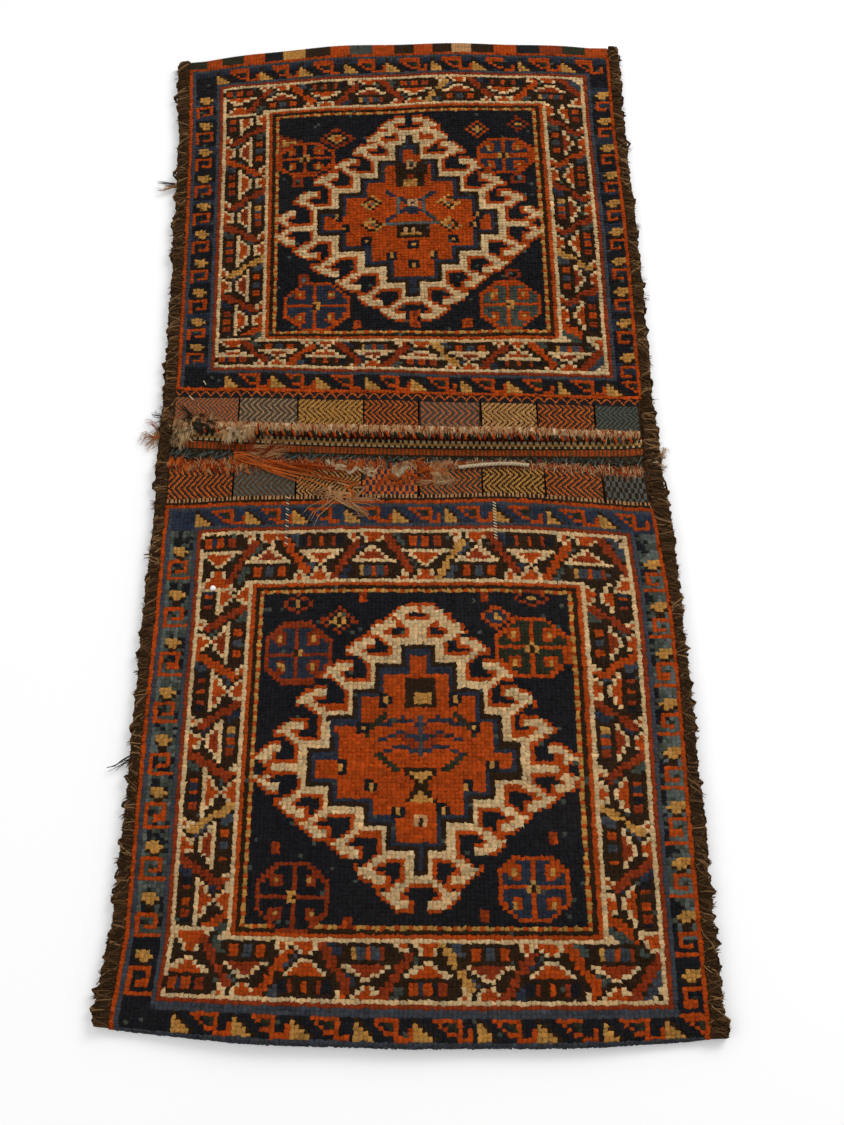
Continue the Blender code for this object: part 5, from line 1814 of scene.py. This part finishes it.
@dataclass
class MouthEdging:
    """The overcast edge of one mouth, a soft roll over the lip."""

    cloth: ClothShape
    far: bool
    yarns: tuple[Yarn, ...]
    width: float = 0.0100
    wrap: float = 0.0024
    ring: int = 10
    step: float = 0.0012
    tones: int = 2000
    overhang: float = 0.0022
    wool: float = 0.0016

    def build(self, finish: WoolFinish) -> bpy.types.Object:
        """Sweep the roll along the lip.

        Args:
            finish: The wool's finish.

        Returns:
            The piece.
        """
        shape = self.cloth
        lip = shape.far_lip if self.far else shape.near_lip
        inward = 1 if self.far else -1
        end = shape.flat_half - 0.001
        count = int(2 * end / self.step)
        angles = np.linspace(0, 2 * math.pi, self.ring, endpoint=False)
        rng = np.random.default_rng(SEED + int(self.far))
        sway = np.convolve(rng.normal(0, 1, count + 21), np.ones(21) / 21, "valid") * 0.0022
        sections = []
        for index, u in enumerate(np.linspace(-end, end, count + 1)):
            wrapped = 0.00028 * np.sin(2 * math.pi * u / self.wrap + angles)
            offset = (self.width / 2 + wrapped) * np.cos(angles)
            y = lip + inward * (self.width / 2 - self.overhang) + offset + sway[min(index, count - 1)] * 0.6
            apart = shape.face_height(np.float64(u), lip) - shape.back_height(np.float64(u))
            room = float(apart) - shape.cloth
            thick = shape.cloth / 2 + self.wool
            under = min(thick, shape.cloth / 2 + max(room, 0.0) * 0.8)
            height = np.where(np.sin(angles) > 0, thick + wrapped, under + wrapped * 0.3) * np.sin(angles)
            x, floor_y = shape.spread(np.full_like(y, u), y)
            z = shape.face_height(np.full_like(y, u), y) + height
            sections.append(np.stack([x, floor_y, z], axis=1) + shape.shift)
        name = "far" if self.far else "near"
        data = swept_roll(f"{name}_mouth_roll", sections)
        along = face_centres(data)[:, 0]
        band = (np.floor(along / self.wrap) % len(self.yarns)).astype(int)
        tones = np.random.default_rng(SEED).normal(1.0, 0.1, self.tones)
        tone = tones[(np.floor(along / 0.0015) % self.tones).astype(int)]
        dye_corners(data, DYES[numbers_of(self.yarns)[band]] * tone[:, None])
        slot = "tan_wool" if self.far else "rust_wool"
        return add_piece(f"{name}_mouth_roll", data, finish.make(), slot, [f"{name}_mouth_edging"])


@dataclass(frozen=True)
class LipWool:
    """Loose wool standing out of the overcast lips, and the slanting tufts on the bridge."""

    name: str
    place: float
    spread: float
    length: float
    count: int
    yarns: tuple[Yarn, ...]
    slot: str
    heading: float = 90.0
    turn: float = 35.0
    box: Point = (-0.258, 0.258)
    radius: float = 0.00040
    lift: float = 0.0030
    on_bridge: bool = False

    def build(self, cloth: ClothShape, finish: WoolFinish) -> None:
        """Lay the strands along the lip."""
        rng = np.random.default_rng(SEED + int(abs(self.place) * 1e4) + self.count)
        strands, dyes = [], []
        t = np.linspace(0.0, 1.0, 5)
        for _ in range(self.count):
            u, y = rng.uniform(*self.box), self.place + rng.normal(0, self.spread)
            angle = math.radians(self.heading + rng.normal(0, self.turn))
            reach = self.length * rng.uniform(0.5, 1.1)
            bend = rng.normal(0, 0.25) * reach * t**2
            along = (t - 0.5) * reach
            path_u = u + along * math.cos(angle) - bend * math.sin(angle)
            path_y = y + along * math.sin(angle) + bend * math.cos(angle)
            height = self.lift * rng.uniform(0.4, 1.0) * np.sin(math.pi * t)
            points = cloth.on_face(path_u, path_y, height)
            if self.on_bridge:
                points[:, 2] = cloth.back_height(path_u) + cloth.cloth / 2 + height + 0.0012
            strands.append(points)
            yarn = self.yarns[rng.integers(len(self.yarns))]
            dyes.append(np.array(yarn.value) * rng.uniform(0.75, 1.25))
        mesh = dyed_strands(self.name, strands, self.radius, 0.5, np.array(dyes))
        add_piece(self.name, mesh, finish.make(), self.slot)


LIP_WOOL = (
    LipWool("far_lip_wool", 0.0330, 0.0022, 0.0085, 1300, wools("TAN TAN IVORY RUST"), "tan_wool", turn=16.0),
    LipWool(
        "near_lip_wool_left", -0.0095, 0.0026, 0.0095, 900, wools("ORANGE RUST MADDER TAN"), "rust_wool",
        box=(-0.258, -0.02),
    ),
    LipWool(
        "near_lip_wool_right", -0.0095, 0.0022, 0.0085, 1000, wools("TAN RUST MADDER IVORY"), "rust_wool",
        box=(0.0, 0.258), turn=24.0,
    ),
    LipWool(
        "bridge_wool", 0.0030, 0.0014, 0.0110, 260, wools("TEAL SLATE MOSS"), "pile_and_kilim_wool",
        heading=40.0, turn=10.0, radius=0.0011, lift=0.0022, on_bridge=True,
    ),
)


@dataclass
class ClosingLoops:
    """The row of small wool loops that the far mouth was laced shut with."""

    cloth: ClothShape
    pitch: float = 0.0042
    radius: float = 0.0017
    yarns: tuple[Yarn, ...] = wools("MADDER MOSS MOSS MADDER TEAL RUST BROWN")

    def build(self, finish: WoolFinish) -> None:
        """Lay the loops along the mouth."""
        shape = self.cloth
        rng = np.random.default_rng(SEED + 7)
        groups: dict[Yarn, list[np.ndarray]] = {yarn: [] for yarn in self.yarns}
        end = shape.flat_half - 0.008
        t = np.linspace(0.0, 1.0, 7)
        for index, u in enumerate(np.arange(-end, end, self.pitch)):
            yarn = self.yarns[index % len(self.yarns)]
            lean, deep = rng.normal(0.0030, 0.0012), rng.uniform(0.0048, 0.0072)
            loop_u = u + lean * t + rng.normal(0, 0.0006)
            loop_y = shape.far_lip - 0.0012 - deep * t
            height = 0.0014 * np.sin(math.pi * t) - shape.cloth / 2 - 0.0004 + rng.uniform(-0.0004, 0.0006)
            groups[yarn].append(shape.on_face(loop_u, loop_y, height))
        data = finished(joined_yarns(groups, self.radius), "closing_loops")
        add_piece("closing_loops", data, finish.make(), "loop_wool", ["closing_loop_braid"])


@dataclass(frozen=True)
class Tuft:
    """A frayed bunch of loose wool on the bag."""

    name: str
    node: str | None
    root: Point
    heading: float
    length: float
    width: float
    count: int
    yarns: tuple[Yarn, ...]
    slot: str
    fan: float = 26.0
    curl: float = 0.22
    radius: float = 0.00038
    lift: float = 0.0034
    lock: int = 12
    share: float = 0.62
    height: float | None = None

    def build(self, cloth: ClothShape, finish: WoolFinish) -> None:
        """Comb the tuft out over the cloth.

        Args:
            cloth: The shape that it lies on.
            finish: The wool's finish.
        """
        rng = np.random.default_rng(abs(int(self.root[0] * 1e4)) + int(self.length * 1e5) + SEED)
        heading = math.radians(self.heading)
        forward = np.array([math.cos(heading), math.sin(heading)])
        across = np.array([-forward[1], forward[0]])
        strands, dyes = [], []
        t = np.linspace(0, 1, 5)
        for _ in range(max(3, int(self.count * self.share) // self.lock)):
            yarn = self.yarns[rng.integers(len(self.yarns))]
            sideways = rng.uniform(-0.5, 0.5)
            root = np.array(self.root) + across * sideways * self.width
            root = root + forward * rng.uniform(-0.1, 0.45) * self.length
            turn = math.radians(rng.normal(0, self.fan))
            reach = self.length * rng.uniform(0.35, 0.95)
            bend, wave = rng.normal(0, self.curl) * reach, rng.normal(0, self.curl * 0.5) * reach
            rise = self.lift * rng.uniform(0.2, 1.0)
            tone = rng.uniform(0.6, 1.1)
            for _ in range(self.lock):
                way = turn + rng.normal(0, 0.10)
                heading_now = forward * math.cos(way) + across * math.sin(way)
                side = np.array([-heading_now[1], heading_now[0]])
                start = root + rng.normal(0, 0.0009, 2)
                own = reach * rng.uniform(0.7, 1.05)
                flat = start + np.outer(t * own, heading_now)
                flat = flat + np.outer(bend * t**2 + wave * np.sin(t * 6), side)
                lift = rise * rng.uniform(0.5, 1.0) * np.sin(np.pi * np.clip(t * 0.8 + 0.15, 0, 1))
                if self.height is None:
                    points = cloth.on_face(flat[:, 0], flat[:, 1], 0.0012 + lift)
                else:
                    x, y = cloth.spread(flat[:, 0], flat[:, 1])
                    points = np.stack([x, y, self.height + lift], axis=1) + cloth.shift
                strands.append(points)
                dyes.append(np.array(yarn.value) * tone * rng.uniform(0.8, 1.15))
        data = dyed_strands(self.name, strands, self.radius, 0.35, np.array(dyes))
        add_piece(self.name, data, finish.make(), self.slot, [self.node] if self.node else [])


TUFTS = (
    Tuft(
        "ivory_wool_tuft", "ivory_tuft", (-0.186, 0.0290), -88, 0.016, 0.040, 620, wools("CREAM IVORY TAN"),
        "ivory_wool", fan=60.0,
    ),
    Tuft(
        "pink_wool_tuft", "pink_tuft", (-0.238, 0.0320), -70, 0.020, 0.046, 620,
        wools("TAN KILIM IVORY MOSS"), "tan_wool", fan=70.0,
    ),
    Tuft(
        "near_orange_wool_tuft", "near_orange_tuft", (-0.216, -0.0170), 84, 0.012, 0.100, 520,
        wools("MADDER TAN ORANGE RUST"), "orange_wool", fan=50.0,
    ),
    Tuft(
        "warp_end_fringe", "warp_fringe", (-0.040, -0.0210), 84, 0.016, 0.090, 460,
        wools("CREAM TAN RUST IVORY"), "ivory_wool", fan=60.0,
    ),
    Tuft(
        "orange_wool_tangle", "orange_tangle", (0.002, -0.0130), -60, 0.026, 0.050, 200,
        wools("ORANGE MADDER"), "orange_wool", fan=60.0, curl=0.45,
    ),
    Tuft(
        "wool_ball_fuzz", "wool_ball", (0.036, -0.0230), 20, 0.020, 0.018, 520,
        wools("TAN TAN ORANGE IVORY"), "tan_wool", fan=90.0, curl=0.5, lift=0.006,
    ),
    Tuft(
        "far_corner_wisps", None, (-0.250, 0.0400), -60, 0.024, 0.036, 300,
        wools("MOSS BROWN TEAL TAN"), "loop_wool", fan=80.0,
    ),
    Tuft(
        "tan_lip_wool", None, (-0.172, -0.0040), 8, 0.044, 0.010, 260,
        wools("TAN RUST TAN"), "tan_wool", fan=20.0,
    ),
    Tuft(
        "pink_loops", None, (-0.068, -0.0300), -78, 0.038, 0.030, 90,
        wools("TAN ORANGE TAN"), "tan_wool", fan=34.0, curl=0.6, radius=0.0007, lock=4,
    ),
    Tuft(
        "orange_long_strands", None, (-0.180, -0.0020), -13, 0.125, 0.007, 64,
        wools("ORANGE MADDER"), "orange_wool", fan=2.2, curl=0.04, radius=0.0006, lock=5, lift=0.0050,
    ),
)
SIDE_TUFTS = (
    Tuft(
        "green_side_loops", "green_side_loop", (-0.2740, 0.040), 190, 0.022, 0.020, 160, wools("MOSS BROWN"),
        "loop_wool", fan=50.0, curl=0.5, height=0.0050,
    ),
    Tuft(
        "orange_side_wool", "orange_side_tail", (-0.2740, 0.028), 214, 0.034, 0.006, 110, wools("ORANGE TAN"),
        "orange_wool", fan=16.0, height=0.0045,
    ),
    Tuft(
        "ivory_side_wool", "ivory_side_tuft", (0.2740, 0.006), -6, 0.018, 0.018, 260,
        wools("CREAM IVORY TAN"), "ivory_wool", fan=50.0, curl=0.4, height=0.0060,
    ),
    Tuft(
        "dark_side_tail", None, (-0.2720, 0.381), 176, 0.034, 0.005, 120, wools("BROWN TAN"),
        "goat_hair", fan=6.0, curl=0.10, height=0.0070,
    ),
    Tuft(
        "corner_thread", None, (-0.2660, 0.571), 182, 0.026, 0.003, 40, wools("TAN"),
        "tan_wool", fan=6.0, curl=0.10, height=0.0060,
    ),
    Tuft(
        "near_side_thread", None, (-0.2700, -0.325), 192, 0.034, 0.002, 14, wools("BROWN"),
        "goat_hair", fan=2.0, curl=0.12, height=0.0060, lock=3, radius=0.0006,
    ),
)


def smooth_route(points: Sequence[Sequence[float]], spacing: float) -> list[tuple[float, ...]]:
    """Read even points from a smooth curve through a few.

    Args:
        points: The few points.
        spacing: About how far apart the new points are.

    Returns:
        The new points.
    """
    ends = [points[0]] + list(points) + [points[-1]]
    route = []
    for before, start, end, after in zip(ends, ends[1:], ends[2:], ends[3:]):
        count = max(1, round(math.dist(start, end) / spacing))
        for step in range(count):
            t = step / count
            place = []
            for a, b, c, d in zip(before, start, end, after):
                straight = 2 * b + (c - a) * t
                cubic = straight + (2 * a - 5 * b + 4 * c - d) * t**2 + (3 * b - a - 3 * c + d) * t**3
                place.append(0.5 * cubic)
            route.append(tuple(place))
    return route + [tuple(points[-1])]


@dataclass
class LooseCord:
    """A loose cord or yarn that lies over the near mouth."""

    name: str
    node: str
    cloth: ClothShape
    places: tuple[Point, ...]
    radius: float
    slot: str
    stiffness: str
    edging: tuple[float, float] = (-0.0090, 0.0018)
    edging_height: float = 0.0018
    pile_from: float = -0.052
    pile_height: float = 0.0020
    cloth_gap: float = 0.0008

    def surface(self, u: float, y: float) -> float:
        """Give the height of what the cord lies on."""
        shape = self.cloth
        top = float(shape.face_height(np.float64(u), np.float64(y))) + shape.cloth / 2
        if shape.near_lip + self.edging[0] <= y <= shape.near_lip + self.edging[1]:
            return top + shape.clearance + self.edging_height
        return top + (self.pile_height if y < self.pile_from else self.cloth_gap)

    def build(self, finish: WoolFinish) -> bpy.types.Object:
        """Lay the cord along its route.

        Args:
            finish: The wool's finish.

        Returns:
            The piece.
        """
        points = []
        for u, y in self.places:
            x, floor_y = self.cloth.spread(np.float64(u), np.float64(y))
            height = self.surface(u, y) + self.radius + self.cloth_gap
            points.append(tuple(np.array([float(x), float(floor_y), height]) + self.cloth.shift))
        route = smooth_route(points, self.radius * 6)
        curve = bpy.data.curves.new(self.name, "CURVE")
        curve.dimensions = "3D"
        curve.bevel_depth = self.radius
        curve.bevel_resolution = 3
        curve.use_fill_caps = True
        spline = curve.splines.new("POLY")
        spline.points.add(len(route) - 1)
        for point, place in zip(spline.points, route):
            point.co = (*place, 1.0)
        curve.materials.append(finish.make())
        piece = bpy.data.objects.new(self.name, curve)
        bpy.context.scene.collection.objects.link(piece)
        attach(piece, "root")
        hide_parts(self.node)
        length = sum(math.dist(a, b) for a, b in zip(route, route[1:]))
        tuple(route[0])
        LOG.info("%s: %.3f m", self.name, length)
        return piece


@dataclass
class SmallThreads:
    """Repair stitches, a white knot and stray threads."""

    cloth: ClothShape
    seen: Viewpoint

    def stitch(self, start: Point, end: Point, heights: Point) -> np.ndarray:
        """Give a straight stitch between two places read off the spread bag.

        Args:
            start: Millimetres from the left and from the far end.
            end: The same for its end.
            heights: Its two heights over the cloth.

        Returns:
            Its two points.
        """
        x_mm, y_mm = np.array([start, end]).T
        return self.cloth.on_face(*self.seen.on_strip(self.cloth, x_mm, y_mm), np.array(heights))

    def build(self, finish: WoolFinish) -> None:
        """Sew the stitches and tie the knot."""
        groups: dict[Yarn, list[np.ndarray]] = {yarn: [] for yarn in wools("CREAM SLATE")}
        for column, low, high, yarns in (
            (163.5, 617, 672, wools("CREAM SLATE")),
            (384.0, 626, 668, wools("CREAM CREAM")),
        ):
            for index, y_mm in enumerate(np.arange(low, high, 3.4)):
                ends = (column - 1.6, y_mm), (column + 1.6, y_mm + 2.2)
                groups[yarns[index % 2]].append(self.stitch(*ends, (0.0024, 0.0026)))
        for start, end in (((45, 500), (50, 505)), ((60, 480), (63, 485)), ((84, 720), (87, 725))):
            groups[Yarn.CREAM].append(self.stitch(start, end, (0.0025, 0.003)))
        joined = joined_yarns(groups, 0.0007)
        u, y = self.seen.on_strip(self.cloth, np.float64(86), np.float64(722))
        bead = bmesh.ops.create_icosphere(joined, subdivisions=2, radius=0.0030)["verts"]
        bmesh.ops.translate(joined, vec=Vector(self.cloth.on_face(u, y, 0.0030)), verts=bead)
        data = finished(joined, "repair_stitches")
        dye = data.color_attributes["dye"]
        colours = np.empty(len(dye.data) * 4, dtype=np.float32)
        dye.data.foreach_get("color", colours)
        colours = colours.reshape(-1, 4)
        colours[colours[:, :3].sum(axis=1) < 1e-4] = (*Yarn.CREAM.value, 1.0)
        dye.data.foreach_set("color", colours.ravel())
        add_piece("repair_stitches", data, finish.make(), "ivory_wool")


# Name, place, size and power of each lamp
LAMPS = (
    ("window_lamp", (1.5, 1.1, 2.0), 1.4, 34.0),
    ("fill_lamp", (-1.8, -0.9, 2.2), 2.0, 16.0),
)


@dataclass
class Studio:
    """The pale floor, the soft lights and the camera."""

    seen: Viewpoint
    floor_size: float = 9.0
    sky: float = 0.50
    floor_lift: float = 0.12
    floor_grey: float = 0.45

    def floor(self) -> None:
        """Lay the floor."""
        mesh = bmesh.new()
        bmesh.ops.create_grid(mesh, x_segments=2, y_segments=2, size=self.floor_size / 2)
        data = finished(mesh, "floor")
        floor = bpy.data.objects.new("floor", data)
        bpy.context.scene.collection.objects.link(floor)
        material = bpy.data.materials.new("pale_floor")
        material.use_nodes = True
        nodes = NodeTree(material.node_tree)
        shader = material.node_tree.nodes["Principled BSDF"]
        direct = nodes.seen_directly()
        white = (1.0, 1.0, 1.0, 1.0)
        nodes.feed(shader, {
            "Base Color": nodes.mix(direct, (*(3 * [self.floor_grey]), 1.0), white),
            "Roughness": 1.0,
            "Specular IOR Level": 0.0,
            "Emission Color": white,
            "Emission Strength": nodes.math("MULTIPLY", direct, self.floor_lift),
        })
        data.materials.append(material)

    def lights(self) -> None:
        """Set the sky and the soft lamps."""
        world = bpy.data.worlds.new("soft_sky")
        bpy.context.scene.world = world
        world.use_nodes = True
        nodes = NodeTree(world.node_tree)
        sky = world.node_tree.nodes["Background"]
        strength = nodes.span(nodes.seen_directly(), self.sky, 1.0)
        nodes.feed(sky, {"Strength": strength, "Color": (1.0, 1.0, 1.0, 1.0)})
        for name, place, size, power in LAMPS:
            lamp = bpy.data.lights.new(name, "AREA")
            lamp.size = size
            lamp.energy = power
            holder = bpy.data.objects.new(name, lamp)
            holder.location = place
            holder.rotation_euler = (-Vector(place)).to_track_quat("-Z", "Y").to_euler()
            bpy.context.scene.collection.objects.link(holder)

    def camera(self) -> None:
        """Stand the camera where the bag is seen from."""
        lens = bpy.data.cameras.new("camera")
        lens.lens = self.seen.lens
        lens.sensor_fit = "AUTO"
        lens.sensor_width = self.seen.sensor
        holder = bpy.data.objects.new("camera", lens)
        holder.location = self.seen.place
        holder.rotation_euler = (math.radians(90 - self.seen.pitch), 0.0, -math.radians(self.seen.heading))
        bpy.context.scene.collection.objects.link(holder)
        bpy.context.scene.camera = holder


PILE = WoolFinish("knotted_pile_wool")
FLATWEAVE = WoolFinish(
    "flatwoven_wool", fibre_scale=1400.0, fibre_contrast=0.5, fibre_depth=0.0003, dust=0.04
)
GROUND = WoolFinish(
    "ground_kilim_wool", rib_scale=120.0, rib_depth=0.0005, fibre_scale=1100.0, fibre_contrast=0.35, dust=0.05
)
GOAT_ROLL = WoolFinish(
    "goat_hair_wrapping",
    colour=(0.034, 0.018, 0.009),
    fibre_scale=700.0,
    fibre_stretch=(0.5, 3.0, 1.0),
    fibre_contrast=0.9,
    fibre_depth=0.0009,
    cloud_scale=140.0,
    cloud_contrast=0.45,
    dust=0.03,
    roughness=0.85,
)
GOAT_HAIR = WoolFinish("goat_hair_tufts", fibre_contrast=0.8, fibre_scale=1300.0, sheen=0.0, dust=0.01)
SOFT_WOOL = WoolFinish("soft_wool", fibre_scale=1600.0, fibre_contrast=0.3, fibre_depth=0.0002)
CREAM_TWIST = WoolFinish(
    "cream_twisted_wool",
    colour=(0.56, 0.44, 0.28),
    rib_scale=110.0,
    rib_turn=0.7,
    rib_depth=0.0006,
    dust=0.05,
)
ORANGE_TWIST = WoolFinish(
    "orange_twisted_wool", colour=(0.48, 0.13, 0.03), rib_scale=180.0, rib_turn=0.7, dust=0.02
)

CREAM_CORD_PLACES = (
    (0.062, -0.0150), (0.074, -0.0135), (0.090, -0.0120),
    (0.106, -0.0110), (0.122, -0.0105), (0.138, -0.0115),
)
LOOSE_YARN_PLACES = (
    (-0.166, -0.011), (-0.146, -0.014), (-0.126, -0.018),
    (-0.104, -0.022), (-0.080, -0.026), (-0.056, -0.031),
)


def main() -> None:
    """Build the bag's looks, piece by piece."""
    logging.basicConfig(level=logging.INFO, format="%(message)s")
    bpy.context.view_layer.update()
    bpy.context.scene.view_settings.view_transform = "Standard"
    seen = Viewpoint()
    cloth = ClothShape()
    cloth.settle(*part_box("woven_strip"))
    studio = Studio(seen)
    studio.camera()
    cream = LooseCord(
        "cream_wool_cord", "cream_cord", cloth, CREAM_CORD_PLACES, 0.0019, "ivory_wool", "medium"
    )
    cream.build(CREAM_TWIST)
    loose = LooseCord(
        "loose_orange_strand", "loose_orange_yarn", cloth, LOOSE_YARN_PLACES, 0.0008, "orange_wool", "limp"
    )
    loose.build(ORANGE_TWIST)
    panels = (MouthPanels(cloth, True, FAR_BLOCKS), MouthPanels(cloth, False, NEAR_BLOCKS))
    ground = WovenCloth(cloth, panels).build(GROUND)
    upon = [panel.build(FLATWEAVE) for panel in panels]
    upon.append(Bridge(cloth).build(FLATWEAVE))
    upon.append(EndBlocks(cloth).build(FLATWEAVE))
    upon.append(KnottedFace("far_pile", cloth, seen, True, 130, 0.5676, 0.0769, SEED + 1).build(PILE))
    upon.append(KnottedFace("near_pile", cloth, seen, False, 143, -0.0519, -0.5910, SEED + 2).build(PILE))
    strip_length = cloth.face_run(cloth.far_lip, True) - cloth.face_run(cloth.near_lip, False)
    SideBinding(cloth, -1, 0.0165, SEED + 3).build(GOAT_ROLL, GOAT_HAIR)
    SideBinding(cloth, 1, 0.0118, SEED + 4, mouth_reach=0.0025).build(GOAT_ROLL, GOAT_HAIR)
    MouthEdging(cloth, True, wools("TAN TAN CREAM TAN RUST")).build(SOFT_WOOL)
    MouthEdging(cloth, False, wools("RUST TEAL BROWN")).build(SOFT_WOOL)
    ClosingLoops(cloth).build(SOFT_WOOL)
    for wool in LIP_WOOL:
        wool.build(cloth, SOFT_WOOL)
    for tuft in TUFTS + SIDE_TUFTS:
        tuft.build(cloth, SOFT_WOOL)
    SmallThreads(cloth, seen).build(SOFT_WOOL)
    studio.floor()
    studio.lights()


if __name__ == "__main__":
    main()
